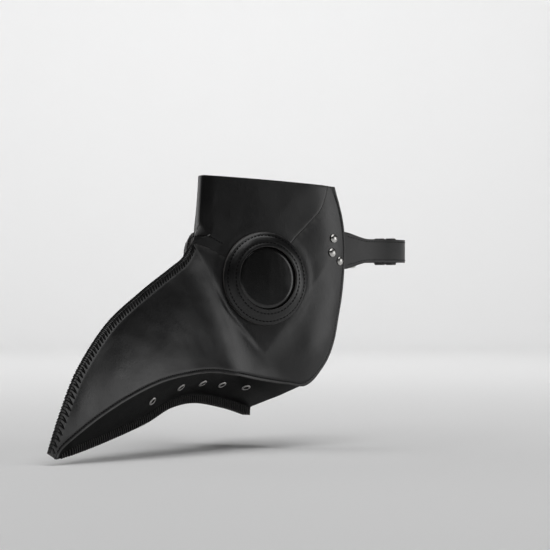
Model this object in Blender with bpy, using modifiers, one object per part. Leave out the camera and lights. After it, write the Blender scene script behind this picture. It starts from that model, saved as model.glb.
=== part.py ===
"""Plague doctor mask: beak, brow, underside, goggle rings, vents, rivets, lacing and head strap.

Frame, metres: origin midway between the wearer's eyes, +X to the wearer's left, -Y forward
along the beak, +Z up. Work below is in millimetres as (w, f, z): w is sideways from the middle
plane, f is forward, z is up.
"""
import math

import bmesh
import bpy
from mathutils import Matrix, Vector

NAME = "plague_doctor_mask"
MM = 0.001

# Leather and clearances
LEATHER = 2.0
GAP = 0.3
HALF_GAP = 0.15

# Outline of the beak in the middle plane, as (f, z)
BRIDGE = (71.8, 29.4)
RIDGE = [(274.5, -131.7), (256.8, -101.0), (233.8, -68.8), (194.9, -35.0), (150.0, -11.5),
         (106.0, 8.0), (86.9, 16.6), BRIDGE]
KEEL = [(264.1, -137.3), (209.2, -128.4), (146.7, -115.7), (108.3, -104.4), (70.0, -101.5),
        (24.3, -107.6), (-14.0, -116.0)]
BROW_TOP_Z = 86.0

# Lower edge of the side panel, tip to under the ear, then its rear edge up to the top corner
SEAM_FRONT = [(264.1, -137.3), (254.8, -126.6), (225.0, -108.5), (188.7, -92.2), (150.0, -81.2),
              (104.0, -76.2), (75.0, -76.8), (47.0, -80.0)]
SEAM_REAR = [(47.0, -80.0), (21.0, -85.2), (-2.0, -88.8), (-16.0, -90.0), (-30.0, -80.0),
             (-43.5, -62.0), (-53.5, -27.0), (-59.5, 14.0), (-58.0, 50.0), (-51.0, 78.0)]

# Edge between forehead panel and side panel, bridge to the top edge
BROW_SEAM = [BRIDGE, (60.0, 25.2), (46.0, 16.5), (28.0, 9.0), (8.0, 15.0), (-7.6, 31.9),
             (-20.0, 44.0), (-34.0, 59.0), (-43.0, 78.5)]

# Widths
BEAK_HALF_WIDTH = 30.0
BEAK_TAPER_LENGTH = 200.0
TIP_HALF_WIDTH = 1.2
BEAK_BOW = 0.3
HEAD_HALF_WIDTH = 70.0
JAW_TUCK = 5.0

# Goggle rings
EYE_CENTRE = (36.0, 18.0, 0.0)
EYE_YAW = math.radians(59.0)
EYE_TILT = math.radians(3.8)
RING_OUTER_R = 39.0
RING_INNER_R = 26.4
RING_RISE = 7.6
RING_LEATHER = 1.6
LENS_R = 28.6
LENS_T = 1.8
LENS_DOME = 0.6
LENS_HOLE_R = 26.8

# Vents in the underside
VENT_F = [148.7, 111.9, 81.1, 52.1, 25.2]
VENT_INSET = 11.0
VENT_FLANGE_R = 4.0
VENT_BORE_R = 2.1
VENT_HOLE_R = 2.8

# Strap, its rivets and its buckle
STRAP_T = 2.2
STRAP_HALF = 10.0
TAB_HALF = 16.0
STRAP_Z = 24.0
RIVETS = [(-44.5, 34.0), (-42.0, 22.0), (-52.0, 15.0)]
RIVET_R = 4.0
BAR_X = 8.0
BACK_Y = 186.0
WIRE_R = 1.5
FRAME_HALF = 13.2
FRAME_REACH = 22.0
FRAME_LIFT = 3.6
PRONG_R = 1.0

# Lacing
CORD_R = 0.7
RIDGE_STITCH = 9.0
KEEL_STITCH = 9.0
STITCH_REACH = 4.5
RIDGE_CLEAR = 2.2


def clear_scene():
    for obj in list(bpy.data.objects):
        bpy.data.objects.remove(obj, do_unlink=True)


clear_scene()
COLLECTION = bpy.data.collections.new(NAME)
CUTTERS = bpy.data.collections.new(NAME + "_cutters")
bpy.context.scene.collection.children.link(COLLECTION)
bpy.context.scene.collection.children.link(CUTTERS)


def material(name, colour, metallic, roughness):
    made = bpy.data.materials.new(name)
    made.use_nodes = True
    shader = made.node_tree.nodes["Principled BSDF"]
    shader.inputs["Base Color"].default_value = (*colour, 1.0)
    shader.inputs["Metallic"].default_value = metallic
    shader.inputs["Roughness"].default_value = roughness
    return made


LOOKS = {
    "leather": ((0.022, 0.021, 0.022), 0.0, 0.38),
    "core": ((0.03, 0.03, 0.03), 0.0, 0.9),
    "lens": ((0.01, 0.01, 0.012), 0.0, 0.06),
    "nickel": ((0.72, 0.71, 0.69), 1.0, 0.22),
    "thread": ((0.012, 0.012, 0.012), 0.0, 0.6),
}


def lerp(a, b, t):
    return a + (b - a) * t


def smooth_step(t):
    t = min(1.0, max(0.0, t))
    return t * t * (3.0 - 2.0 * t)


def catmull(points, steps=16):
    """Dense points along a smooth curve through the given (f, z) points."""
    first = [2.0 * a - b for a, b in zip(points[0], points[1])]
    last = [2.0 * a - b for a, b in zip(points[-1], points[-2])]
    ends = [first] + [list(p) for p in points] + [last]
    out = []
    for i in range(1, len(ends) - 2):
        p0, p1, p2, p3 = ends[i - 1:i + 3]
        for k in range(steps):
            t = k / steps
            out.append([0.5 * (2.0 * b + (c - a) * t + (2.0 * a - 5.0 * b + 4.0 * c - d) * t * t
                               + (3.0 * b - a - 3.0 * c + d) * t ** 3)
                        for a, b, c, d in zip(p0, p1, p2, p3)])
    out.append(list(points[-1]))
    return out


def spaced(points, count, dense=True):
    """count + 1 points at even distances along the curve through the given points."""
    line = catmull(points) if dense else [list(p) for p in points]
    runs = [0.0]
    for a, b in zip(line, line[1:]):
        runs.append(runs[-1] + math.dist(a, b))
    out = []
    k = 0
    for i in range(count + 1):
        want = runs[-1] * i / count
        while k < len(runs) - 2 and runs[k + 1] < want:
            k += 1
        t = (want - runs[k]) / max(1e-9, runs[k + 1] - runs[k])
        out.append([lerp(a, b, min(1.0, t)) for a, b in zip(line[k], line[k + 1])])
    return out


def at_forward(points, f):
    """Height of a curve of (f, z) points at a forward distance."""
    line = catmull(points)
    for a, b in zip(line, line[1:]):
        if (a[0] - f) * (b[0] - f) <= 0.0 and a[0] != b[0]:
            return lerp(a[1], b[1], (f - a[0]) / (b[0] - a[0]))
    return line[-1][1]


# Outer surface of the mask as half-width over the middle plane

EYE_AXIS = Vector((math.sin(EYE_YAW) * math.cos(EYE_TILT), -math.cos(EYE_YAW) * math.cos(EYE_TILT),
                   math.sin(EYE_TILT)))


def brow_forward(z):
    """The brow's centre fold: forward distance at a height."""
    return 75.73 - 0.129 * z - 0.000158 * z * z


def seam_half_width(f):
    """Half-width of the beak at its lower edge."""
    left = min(1.0, max(0.0, (264.1 - f) / BEAK_TAPER_LENGTH))
    return max(TIP_HALF_WIDTH, BEAK_HALF_WIDTH * (1.0 - (1.0 - left) ** 2) ** 0.9)


def bowed(t):
    return t * (1.0 + BEAK_BOW * (1.0 - t))


def skin(f, z, beak=0.0):
    """Half-width of the outer surface at (f, z); beak is the beak tube's own half-width there."""
    back = max(0.0, brow_forward(z) - f)
    cheek = 0.648 * back - 0.000414 * back * back
    if z < -40.0:
        cheek -= JAW_TUCK * ((-40.0 - z) / 50.0) ** 2
    cheek = max(0.0, cheek)
    side = HEAD_HALF_WIDTH - 0.0011 * (z - 8.0) ** 2
    cheek = cheek * (1.0 + (cheek / side) ** 18) ** (-1.0 / 18)
    width = (cheek ** 8 + beak ** 8) ** 0.125
    flat = EYE_CENTRE[0] - (-EYE_AXIS.y * (f - EYE_CENTRE[1]) + EYE_AXIS.z * (z - EYE_CENTRE[2])) / EYE_AXIS.x
    reach = math.dist((flat, f, z), EYE_CENTRE)
    hold = smooth_step((54.0 - reach) / 12.0)
    return lerp(width, flat, hold)


def world(w, f, z):
    return Vector((w * MM, -f * MM, z * MM))


def skin_place(f, z):
    """Point and outward direction of the cheek's outer surface, in millimetres, world axes."""
    step = 0.5
    by_f = (skin(f + step, z) - skin(f - step, z)) / (2.0 * step)
    by_z = (skin(f, z + step) - skin(f, z - step)) / (2.0 * step)
    out = Vector((1.0, by_f, -by_z)).normalized()
    return Vector((skin(f, z), -f, z)), out


def underside_point(along, across):
    """Outer surface of the underside panel; along 0..1 tip to rear, across 0 at the seam."""
    seam = UNDER_SEAM[0] if along <= 0.0 else lerp_list(UNDER_SEAM, along)
    keel = lerp_list(UNDER_KEEL, along)
    edge = skin(seam[0], seam[1], seam_half_width(seam[0])) - LEATHER - 2.0 * GAP
    tuck = lerp(-0.45, 0.6, smooth_step((edge - 0.9) / 1.5))
    w = lerp(max(0.9, edge), 0.0, across)
    f = lerp(seam[0], keel[0], across)
    z = lerp(seam[1] + tuck, keel[1], across)
    belly = 4.0 * across * (1.0 - across) * min(2.2, 0.09 * edge)
    return Vector((w + belly * 0.7, -f, z - belly * 0.7))


def lerp_list(rows, t):
    place = min(0.999999, max(0.0, t)) * (len(rows) - 1)
    k = int(place)
    return [lerp(a, b, place - k) for a, b in zip(rows[k], rows[k + 1])]


UNDER_SEAM = spaced([(262.0, -134.6)] + SEAM_FRONT[1:] + SEAM_REAR[1:4], 60)
UNDER_KEEL = spaced([(262.6, -137.2)] + KEEL[1:], 60)


def underside_place(f, inset):
    """Point and outward direction on the underside, inset sideways from the seam."""
    along = min((abs(lerp_list(UNDER_SEAM, k / 400.0)[0] - f), k / 400.0) for k in range(401))[1]
    seam = lerp_list(UNDER_SEAM, along)
    edge = skin(seam[0], seam[1], seam_half_width(seam[0]))
    across = inset / edge
    for _ in range(6):
        here = underside_point(along, across)
        along = min(1.0, max(0.0, along + (-here.y - f) / 300.0))
    here = underside_point(along, across)
    a = underside_point(along + 0.01, across) - underside_point(along - 0.01, across)
    b = underside_point(along, across + 0.02) - underside_point(along, across - 0.02)
    out = a.cross(b).normalized()
    if out.z > 0.0:
        out = -out
    return here, out


# Making objects

def new_object(name, mesh, look, smooth=True, cutter=False):
    obj = bpy.data.objects.new(name, mesh)
    if cutter:
        CUTTERS.objects.link(obj)
        obj.hide_render = True
        obj.display_type = 'WIRE'
        return obj
    COLLECTION.objects.link(obj)
    colour, metallic, roughness = LOOKS[look]
    mesh.materials.clear()
    mesh.materials.append(material(name + "_" + look, colour, metallic, roughness))
    if smooth:
        mesh.shade_smooth()
        mesh.set_sharp_from_angle(angle=math.radians(32.0))
    return obj


def finish_mesh(bm, name):
    bmesh.ops.remove_doubles(bm, verts=bm.verts, dist=0.00002)
    bmesh.ops.recalc_face_normals(bm, faces=bm.faces)
    mesh = bpy.data.meshes.new(name)
    bm.to_mesh(mesh)
    bm.free()
    return mesh


def grid_sheet(rows):
    """Open sheet through rows of world points in metres, all rows the same length."""
    bm = bmesh.new()
    across = len(rows[0])
    bmesh.ops.create_grid(bm, x_segments=across - 1, y_segments=len(rows) - 1, size=1.0)
    bm.verts.ensure_lookup_table()
    for k, vert in enumerate(sorted(bm.verts, key=lambda v: (round(v.co.y, 5), round(v.co.x, 5)))):
        vert.co = rows[k // across][k % across]
    return bm


def thickened(name, bm, thickness, offset, outward):
    """Closed shell from an open sheet; outward is a point on the outer side of the sheet."""
    bmesh.ops.remove_doubles(bm, verts=bm.verts, dist=0.00002)
    bmesh.ops.recalc_face_normals(bm, faces=bm.faces)
    face = max(bm.faces, key=lambda g: g.calc_area())
    if face.normal.dot(outward) < 0.0:
        bmesh.ops.reverse_faces(bm, faces=bm.faces)
    mesh = bpy.data.meshes.new(name)
    bm.to_mesh(mesh)
    bm.free()
    obj = bpy.data.objects.new(name, mesh)
    CUTTERS.objects.link(obj)
    wall = obj.modifiers.new("wall", 'SOLIDIFY')
    wall.thickness = thickness * MM
    wall.offset = offset
    wall.use_even_offset = True
    wall.thickness_clamp = 0.0
    return applied(obj, name)


def applied(obj, name):
    """Mesh of an object with its modifiers, the object itself removed."""
    graph = bpy.context.evaluated_depsgraph_get()
    mesh = bpy.data.meshes.new_from_object(obj.evaluated_get(graph))
    mesh.name = name
    bpy.data.objects.remove(obj, do_unlink=True)
    bm = bmesh.new()
    bm.from_mesh(mesh)
    bmesh.ops.remove_doubles(bm, verts=bm.verts, dist=0.00002)
    bmesh.ops.dissolve_degenerate(bm, edges=bm.edges, dist=0.00001)
    bmesh.ops.recalc_face_normals(bm, faces=bm.faces)
    bm.to_mesh(mesh)
    bm.free()
    return mesh


def cut(mesh, cutters, operation='DIFFERENCE'):
    """Mesh with each cutter mesh taken away."""
    obj = bpy.data.objects.new("work", mesh)
    CUTTERS.objects.link(obj)
    tools = []
    for k, tool in enumerate(cutters):
        tools.append(new_object("cutter", tool, "", cutter=True))
        step = obj.modifiers.new("cut_%d" % k, 'BOOLEAN')
        step.operation = operation
        step.solver = 'EXACT'
        step.object = tools[-1]
    made = applied(obj, mesh.name)
    for tool in tools:
        bpy.data.objects.remove(tool, do_unlink=True)
    return made


def mirrored(mesh, name):
    bm = bmesh.new()
    bm.from_mesh(mesh)
    bmesh.ops.scale(bm, vec=(-1.0, 1.0, 1.0), verts=bm.verts)
    bmesh.ops.reverse_faces(bm, faces=bm.faces)
    made = bpy.data.meshes.new(name)
    bm.to_mesh(made)
    bm.free()
    return made


def box_mesh(low, high, name="box"):
    """Box between two corners in millimetres, world axes."""
    bm = bmesh.new()
    bmesh.ops.create_cube(bm, size=1.0)
    size = [(b - a) * MM for a, b in zip(low, high)]
    middle = [(a + b) * 0.5 * MM for a, b in zip(low, high)]
    bmesh.ops.scale(bm, vec=size, verts=bm.verts)
    bmesh.ops.translate(bm, vec=middle, verts=bm.verts)
    return finish_mesh(bm, name)


def placed(point, out):
    """Transform that puts local +Z along out at a point in millimetres."""
    turn = Vector((0.0, 0.0, 1.0)).rotation_difference(out).to_matrix().to_4x4()
    return Matrix.Translation(point * MM) @ turn


def rod_mesh(point, out, radius, low, high, segments=12):
    bm = bmesh.new()
    bmesh.ops.create_cone(bm, cap_ends=True, segments=segments, radius1=radius * MM,
                          radius2=radius * MM, depth=(high - low) * MM)
    bmesh.ops.translate(bm, vec=(0.0, 0.0, (low + high) * 0.5 * MM), verts=bm.verts)
    bmesh.ops.transform(bm, matrix=placed(point, out), verts=bm.verts)
    return finish_mesh(bm, "rod")


def turned(profile, segments, closed, place):
    """Solid of revolution about local +Z from (radius, height) points in millimetres."""
    bm = bmesh.new()
    verts = [bm.verts.new((r * MM, 0.0, h * MM)) for r, h in profile]
    edges = [bm.edges.new(pair) for pair in zip(verts, verts[1:])]
    if closed:
        edges.append(bm.edges.new((verts[-1], verts[0])))
    bmesh.ops.spin(bm, geom=verts + edges, cent=(0.0, 0.0, 0.0), axis=(0.0, 0.0, 1.0),
                   angle=math.tau, steps=segments, use_merge=True)
    bmesh.ops.transform(bm, matrix=place, verts=bm.verts)
    return finish_mesh(bm, "turned")


def cord_mesh(points, radius, cyclic=False, sides=2):
    """Round cord along points in millimetres, world axes."""
    curve = bpy.data.curves.new("cord", 'CURVE')
    curve.dimensions = '3D'
    curve.bevel_depth = radius * MM
    curve.bevel_resolution = sides
    curve.use_fill_caps = True
    line = curve.splines.new('POLY')
    line.points.add(len(points) - 1)
    for slot, point in zip(line.points, points):
        slot.co = (*(Vector(point) * MM), 1.0)
    line.use_cyclic_u = cyclic
    obj = bpy.data.objects.new("cord", curve)
    CUTTERS.objects.link(obj)
    return applied(obj, "cord")


def both_sides(stem, mesh, look, smooth=True):
    new_object(stem + "_left", mesh, look, smooth)
    new_object(stem + "_right", mirrored(mesh, stem), look, smooth)


def other_side(point, out):
    return Vector((-point.x, point.y, point.z)), Vector((-out.x, out.y, out.z))


# Panels

MIDDLE_CUT = box_mesh((-60.0, -320.0, -180.0), (HALF_GAP, 120.0, 140.0))
LENS_CUT = rod_mesh(Vector((EYE_CENTRE[0], -EYE_CENTRE[1], EYE_CENTRE[2])), EYE_AXIS, LENS_HOLE_R,
                    -14.0, 14.0, 40)


def shifted(points, by):
    """Curve of (f, z) points moved sideways by a distance."""
    out = []
    for k, here in enumerate(points):
        a = points[max(0, k - 1)]
        b = points[min(len(points) - 1, k + 1)]
        run = math.dist(a, b)
        out.append((here[0] + (b[1] - a[1]) / run * by, here[1] - (b[0] - a[0]) / run * by))
    return out


def side_panel():
    beak_steps = 20
    cheek_steps = 17
    across = 12
    upper = spaced(RIDGE, beak_steps) + spaced(shifted(catmull(BROW_SEAM), -0.3), cheek_steps, False)[1:]
    lower = spaced(SEAM_FRONT, beak_steps) + spaced(SEAM_REAR, cheek_steps)[1:]
    rows = []
    for top, low in zip(upper, lower):
        tube = seam_half_width(low[0])
        row = []
        for k in range(across + 1):
            t = k / across
            f = lerp(top[0], low[0], t)
            z = lerp(top[1], low[1], t)
            row.append(world(skin(f, z, tube * bowed(t)), f, z))
        rows.append(row)
    shell = thickened("side_panel", grid_sheet(rows), LEATHER, -1.0, Vector((1.0, 0.0, 0.0)))
    tools = [MIDDLE_CUT.copy(), LENS_CUT.copy()]
    for f, z in RIVETS:
        point, out = skin_place(f, z)
        tools.append(rod_mesh(point, out, 1.8, -6.0, 4.0))
    return cut(shell, tools)


def forehead_panel():
    rows_count = 12
    places = [0.0, 0.05, 0.13, 0.25, 0.4, 0.55, 0.7, 0.85, 1.0]
    seam = spaced(shifted(catmull(BROW_SEAM), 0.3)[7:], rows_count, False)
    rows = []
    for i in range(rows_count + 1):
        up = lerp(BRIDGE[1] + 0.4, BROW_TOP_Z, i / rows_count)
        half = []
        for t in places:
            f = lerp(brow_forward(up), seam[i][0], t)
            z = lerp(up, seam[i][1], t) + 2.0 * t * (1.0 - t) * i / rows_count
            round_off = max(0.0, 1.0 - t / 0.13) * 1.1 * min(1.0, i / 2.0)
            half.append((skin(f, z), f - round_off, z))
        row = [world(-w, f, z) for w, f, z in reversed(half[1:])] + [world(*p) for p in half]
        rows.append(row)
    shell = thickened("forehead_panel", grid_sheet(rows), LEATHER, -1.0, Vector((0.0, -1.0, 0.0)))
    return cut(shell, [LENS_CUT.copy(), mirrored(LENS_CUT, "rod")])


def underside_panel():
    rows = []
    for i in range(27):
        rows.append([underside_point(i / 26.0, k / 5.0) * MM for k in range(6)])
    shell = thickened("underside_panel", grid_sheet(rows), LEATHER, -1.0, Vector((0.4, 0.0, -1.0)))
    tools = [MIDDLE_CUT.copy()]
    for f in VENT_F:
        point, out = underside_place(f, VENT_INSET)
        tools.append(rod_mesh(point, out, VENT_HOLE_R, -6.0, 4.0))
    return cut(shell, tools)


both_sides("side_panel", side_panel(), "leather")
new_object("forehead_panel", forehead_panel(), "leather")
both_sides("underside_panel", underside_panel(), "leather")

# Goggle rings: leather cone, stiff core under it, lens

EYE_PLACE = placed(Vector((EYE_CENTRE[0], -EYE_CENTRE[1], EYE_CENTRE[2])), EYE_AXIS)
RING_RUN = RING_OUTER_R - RING_INNER_R
RING_SLOPE = (RING_RISE - RING_LEATHER) / RING_RUN


def ring_under(r):
    return GAP + (RING_OUTER_R - r) * RING_SLOPE


RING_PROFILE = [(RING_OUTER_R, ring_under(RING_OUTER_R)),
                (RING_OUTER_R - 0.1, GAP + RING_LEATHER * 0.7),
                (RING_OUTER_R - 1.0, GAP + RING_LEATHER + 0.5),
                (RING_OUTER_R - 6.0, ring_under(RING_OUTER_R - 6.0) + RING_LEATHER + 0.4),
                (RING_INNER_R + 1.2, RING_RISE + 0.1),
                (RING_INNER_R + 0.2, RING_RISE - 0.3),
                (RING_INNER_R, RING_RISE - RING_LEATHER)]
both_sides("eye_ring", turned(RING_PROFILE, 40, True, EYE_PLACE), "leather")

CORE_IN = LENS_R + 0.5
CORE_OUT = RING_OUTER_R - 1.4
CORE_PROFILE = [(CORE_IN, GAP), (CORE_OUT, GAP), (CORE_OUT, ring_under(CORE_OUT) - GAP),
                (CORE_IN, ring_under(CORE_IN) - GAP)]
both_sides("eye_ring_core", turned(CORE_PROFILE, 40, True, EYE_PLACE), "core")

LENS_PROFILE = [(0.0, GAP + LENS_DOME), (LENS_R * 0.6, GAP + LENS_DOME * 0.64), (LENS_R, GAP),
                (LENS_R, GAP + LENS_T), (LENS_R * 0.6, GAP + LENS_T + LENS_DOME * 0.64),
                (0.0, GAP + LENS_T + LENS_DOME)]
both_sides("lens", turned(LENS_PROFILE, 40, False, EYE_PLACE), "lens")

# Vents: rolled eyelet and its inner washer

VENT_LOW = -(LEATHER + 2.0 * GAP + 0.6)
VENT_PROFILE = [(VENT_BORE_R, 0.7), (VENT_BORE_R + 0.5, 1.1), (VENT_FLANGE_R - 0.4, 0.9),
                (VENT_FLANGE_R, GAP), (VENT_BORE_R + 0.4, GAP), (VENT_BORE_R + 0.4, VENT_LOW - GAP),
                (VENT_BORE_R + 1.3, VENT_LOW - GAP), (VENT_BORE_R + 1.1, VENT_LOW - GAP - 0.5),
                (VENT_BORE_R, VENT_LOW - GAP - 0.5)]
WASHER_TOP = -(LEATHER + GAP)
WASHER_PROFILE = [(VENT_HOLE_R, WASHER_TOP), (VENT_FLANGE_R + 0.6, WASHER_TOP),
                  (VENT_FLANGE_R + 0.6, WASHER_TOP - 0.6), (VENT_HOLE_R, WASHER_TOP - 0.6)]

for number, vent_f in enumerate(VENT_F, 1):
    vent_point, vent_out = underside_place(vent_f, VENT_INSET)
    for side in ("left", "right"):
        if side == "right":
            vent_point, vent_out = other_side(vent_point, vent_out)
        vent_place = placed(vent_point, vent_out)
        new_object("vent_eyelet_%s_%d" % (side, number), turned(VENT_PROFILE, 12, True, vent_place),
                   "nickel")
        new_object("vent_washer_%s_%d" % (side, number), turned(WASHER_PROFILE, 12, True, vent_place),
                   "nickel")

# Rivets through side panel and strap tab

TAB_TOP = LEATHER + GAP
TAB_LOW = TAB_TOP + STRAP_T
CAP_PROFILE = [(0.0, GAP), (RIVET_R, GAP), (RIVET_R, GAP + 0.6), (RIVET_R * 0.75, GAP + 1.5),
               (RIVET_R * 0.4, GAP + 2.0), (0.0, GAP + 2.2)]
POST_BASE = -(TAB_LOW + 2.0 * GAP)
POST_PROFILE = [(0.0, POST_BASE - 0.9), (RIVET_R * 0.9, POST_BASE - 0.7), (RIVET_R, POST_BASE),
                (1.4, POST_BASE), (1.4, 0.0), (0.0, 0.0)]

for number, (rivet_f, rivet_z) in enumerate(RIVETS, 1):
    rivet_point, rivet_out = skin_place(rivet_f, rivet_z)
    for side in ("left", "right"):
        if side == "right":
            rivet_point, rivet_out = other_side(rivet_point, rivet_out)
        rivet_place = placed(rivet_point, rivet_out)
        new_object("rivet_cap_%s_%d" % (side, number), turned(CAP_PROFILE, 14, False, rivet_place),
                   "nickel")
        new_object("rivet_post_%s_%d" % (side, number), turned(POST_PROFILE, 12, False, rivet_place),
                   "nickel")


# Head strap

def tab_point(f, z):
    """Middle of the strap's thickness where it lies inside the side panel."""
    point, out = skin_place(f, z)
    return point - out * (LEATHER + GAP + 0.05 + STRAP_T * 0.5)


def strap_rows(path, fold):
    """Rows across a strap: tab inside the panel, then a path of (x, y) points round the head."""
    rows = []
    start = -34.0
    for k in range(9):
        f = start - 26.0 * k / 8.0
        half = TAB_HALF * min(1.0, 0.62 + 0.38 * math.sqrt(min(1.0, k / 2.0)))
        rows.append([tab_point(f, STRAP_Z + half * c / 3.0) for c in range(-3, 4)])
    edge = rows[-1][3]
    smooth = spaced([(edge.x, edge.y)] + path, 26)
    for k, (x, y) in enumerate(smooth[1:], 1):
        half = lerp(TAB_HALF, STRAP_HALF, smooth_step(k / 5.0))
        settle = smooth_step(k / 4.0)
        row = []
        for c in range(-3, 4):
            lean = (rows[8][c + 3].x - edge.x) * (1.0 - settle)
            row.append(Vector((x + lean, y, STRAP_Z + half * c / 3.0)))
        rows.append(row)
    for x, y, half in fold:
        rows.append([Vector((x, y, STRAP_Z + half * c / 3.0)) for c in range(-3, 4)])
    return [[p * MM for p in row] for row in rows]


FOLD_R = WIRE_R + GAP + STRAP_T * 0.5
LOOP_PATH = [(69.0, 78.0), (74.5, 104.0), (75.5, 130.0), (71.0, 158.0)]


def strap_left():
    main = BACK_Y + FOLD_R
    path = LOOP_PATH + [(60.0, main - 6.5), (52.0, main - 0.5), (47.0, main), (40.0, main), (30.0, main),
                        (20.0, main), (12.0, main)]
    fold = []
    for k in range(9):
        turn = math.pi * k / 8.0
        fold.append((BAR_X - FOLD_R * math.sin(turn), BACK_Y + FOLD_R * math.cos(turn), STRAP_HALF))
    fold.append((24.0, BACK_Y - FOLD_R, STRAP_HALF))
    fold.append((27.0, BACK_Y - FOLD_R, STRAP_HALF * 0.8))
    shell = thickened("strap_left", grid_sheet(strap_rows(path, fold)), STRAP_T, 0.0,
                      Vector((1.0, 1.0, 0.0)))
    tools = [box_mesh((BAR_X - 7.0, BACK_Y - 6.0, STRAP_Z - 2.0), (BAR_X + 6.0, BACK_Y + 6.0, STRAP_Z + 2.0))]
    for f, z in RIVETS:
        point, out = skin_place(f, z)
        tools.append(rod_mesh(point, out, 1.8, -9.0, 0.0))
    return cut(shell, tools)


def strap_right():
    high = BACK_Y + FOLD_R + STRAP_T + GAP + 0.1
    path = LOOP_PATH + [(60.0, BACK_Y - 8.0), (51.0, BACK_Y - 1.0), (44.0, BACK_Y), (35.0, BACK_Y), (26.0, BACK_Y)]
    low_x = -(BAR_X - FRAME_REACH)
    fold = [(low_x, BACK_Y + 0.5, STRAP_HALF)]
    for k in range(1, 8):
        t = k / 7.0
        fold.append((lerp(low_x, -BAR_X - 1.0, t), BACK_Y + 0.5 + (high - BACK_Y - 0.5) * smooth_step(t),
                     STRAP_HALF))
    fold += [(-20.0, high, STRAP_HALF), (-34.0, high, STRAP_HALF), (-48.0, high, STRAP_HALF),
             (-53.0, high, STRAP_HALF * 0.85), (-56.0, high, STRAP_HALF * 0.4)]
    shell = thickened("strap_right", grid_sheet(strap_rows(path, fold)), STRAP_T, 0.0,
                      Vector((1.0, 1.0, 0.0)))
    tools = [box_mesh((-1.0, BACK_Y - 5.0, STRAP_Z - 1.6), (7.5, BACK_Y + 12.0, STRAP_Z + 1.6))]
    up = Vector((0.0, 1.0, 0.0))
    for x in (-48.0, -36.0, -24.0, -12.0, 24.0):
        tools.append(rod_mesh(Vector((x, BACK_Y, STRAP_Z)), up, 1.5, -4.0, 10.0))
    for f, z in RIVETS:
        point, out = skin_place(f, z)
        tools.append(rod_mesh(point, out, 1.8, -9.0, 0.0))
    return mirrored(cut(shell, tools), "strap_right")


new_object("strap_left", strap_left(), "leather")
new_object("strap_right", strap_right(), "leather")


def buckle_at(a, n, z=0.0):
    """Buckle place: a along the strap from the bar towards the right, n away from the head."""
    return Vector((BAR_X - a, BACK_Y + n, STRAP_Z + z))


frame_points = [buckle_at(0.0, 0.0, -FRAME_HALF), buckle_at(0.0, 0.0, FRAME_HALF),
                buckle_at(FRAME_REACH - 2.0, FRAME_LIFT * 0.92, FRAME_HALF),
                buckle_at(FRAME_REACH, FRAME_LIFT, FRAME_HALF - 2.5),
                buckle_at(FRAME_REACH, FRAME_LIFT, -FRAME_HALF + 2.5),
                buckle_at(FRAME_REACH - 2.0, FRAME_LIFT * 0.92, -FRAME_HALF)]
new_object("buckle_frame", cord_mesh(frame_points, WIRE_R, True), "nickel")

PRONG_TURN = WIRE_R + GAP + PRONG_R
prong_points = []
for step in range(10):
    angle = math.radians(50.0 + 220.0 * step / 9.0)
    prong_points.append(buckle_at(PRONG_TURN * math.cos(angle), PRONG_TURN * math.sin(angle)))
for a, n in ((5.0, -2.2), (10.0, 1.2), (15.0, 4.7), (19.0, 6.3), (22.0, 6.5), (24.5, 6.3)):
    prong_points.append(buckle_at(a, n))
new_object("buckle_prong", cord_mesh(prong_points, PRONG_R), "nickel")


def keeper(x):
    low = BACK_Y + WIRE_R + GAP
    high = low + 2.0 * STRAP_T + GAP + 0.1
    wall = 1.6
    room = 0.4
    inner = box_mesh((x - 9.0, low - room, STRAP_Z - STRAP_HALF - room),
                     (x + 9.0, high + room, STRAP_Z + STRAP_HALF + room))
    outer = box_mesh((x - 3.5, low - room - wall, STRAP_Z - STRAP_HALF - room - wall),
                     (x + 3.5, high + room + wall, STRAP_Z + STRAP_HALF + room + wall), "keeper")
    return cut(outer, [inner])


new_object("keeper_loop_fixed", keeper(31.5), "leather", False)
new_object("keeper_loop_sliding", keeper(42.5), "leather", False)


# Lacing over the ridge and along the keel

def ridge_lacing():
    line = spaced(RIDGE[:-1] + [(78.0, 23.5)], 400)
    total = sum(math.dist(a, b) for a, b in zip(line, line[1:]))
    count = int(total / RIDGE_STITCH)
    points = []
    for k in range(1, 2 * count):
        at = int(400 * k / (2 * count))
        top = line[at]
        before = line[max(0, at - 3)]
        after = line[min(400, at + 3)]
        run = math.dist(before, after)
        down = ((after[1] - before[1]) / run, -(after[0] - before[0]) / run)
        if down[1] > 0.0:
            down = (-down[0], -down[1])
        away = seam_half_width(top[0]) * 1.3 / 95.0
        w = min(2.6, STITCH_REACH * away + 0.25)
        side = 1.0 if k % 2 else -1.0
        f = top[0] + down[0] * STITCH_REACH
        z = top[1] + down[1] * STITCH_REACH
        lift = CORD_R + GAP + 1.2
        points.append(Vector((side * (w + lift), -f, z)))
        points.append(Vector((0.0, -(top[0] - down[0] * RIDGE_CLEAR), top[1] - down[1] * RIDGE_CLEAR)))
    return cord_mesh(points[:-1], CORD_R, False, 0)


def keel_lacing():
    count = int(270.0 / KEEL_STITCH)
    points = []
    for k in range(2, 2 * count):
        along = k / (2.0 * count)
        edge = underside_point(along, 0.0)
        across = 1.0 - min(0.45, 3.6 / max(4.0, edge.x * 1.3))
        a = underside_point(along + 0.01, across) - underside_point(along - 0.01, across)
        b = underside_point(along, across + 0.02) - underside_point(along, across - 0.02)
        out = a.cross(b).normalized()
        if out.z > 0.0:
            out = -out
        spot = underside_point(along, across) + out * (CORD_R + GAP + 0.2)
        side = 1.0 if k % 2 else -1.0
        points.append(Vector((side * spot.x, spot.y, spot.z)))
        low = underside_point(along, 1.0)
        points.append(Vector((0.0, low.y, low.z - CORD_R - 0.9)))
    return cord_mesh(points[:-1], CORD_R, False, 0)


new_object("ridge_lacing", ridge_lacing(), "thread")
new_object("keel_lacing", keel_lacing(), "thread")
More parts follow.
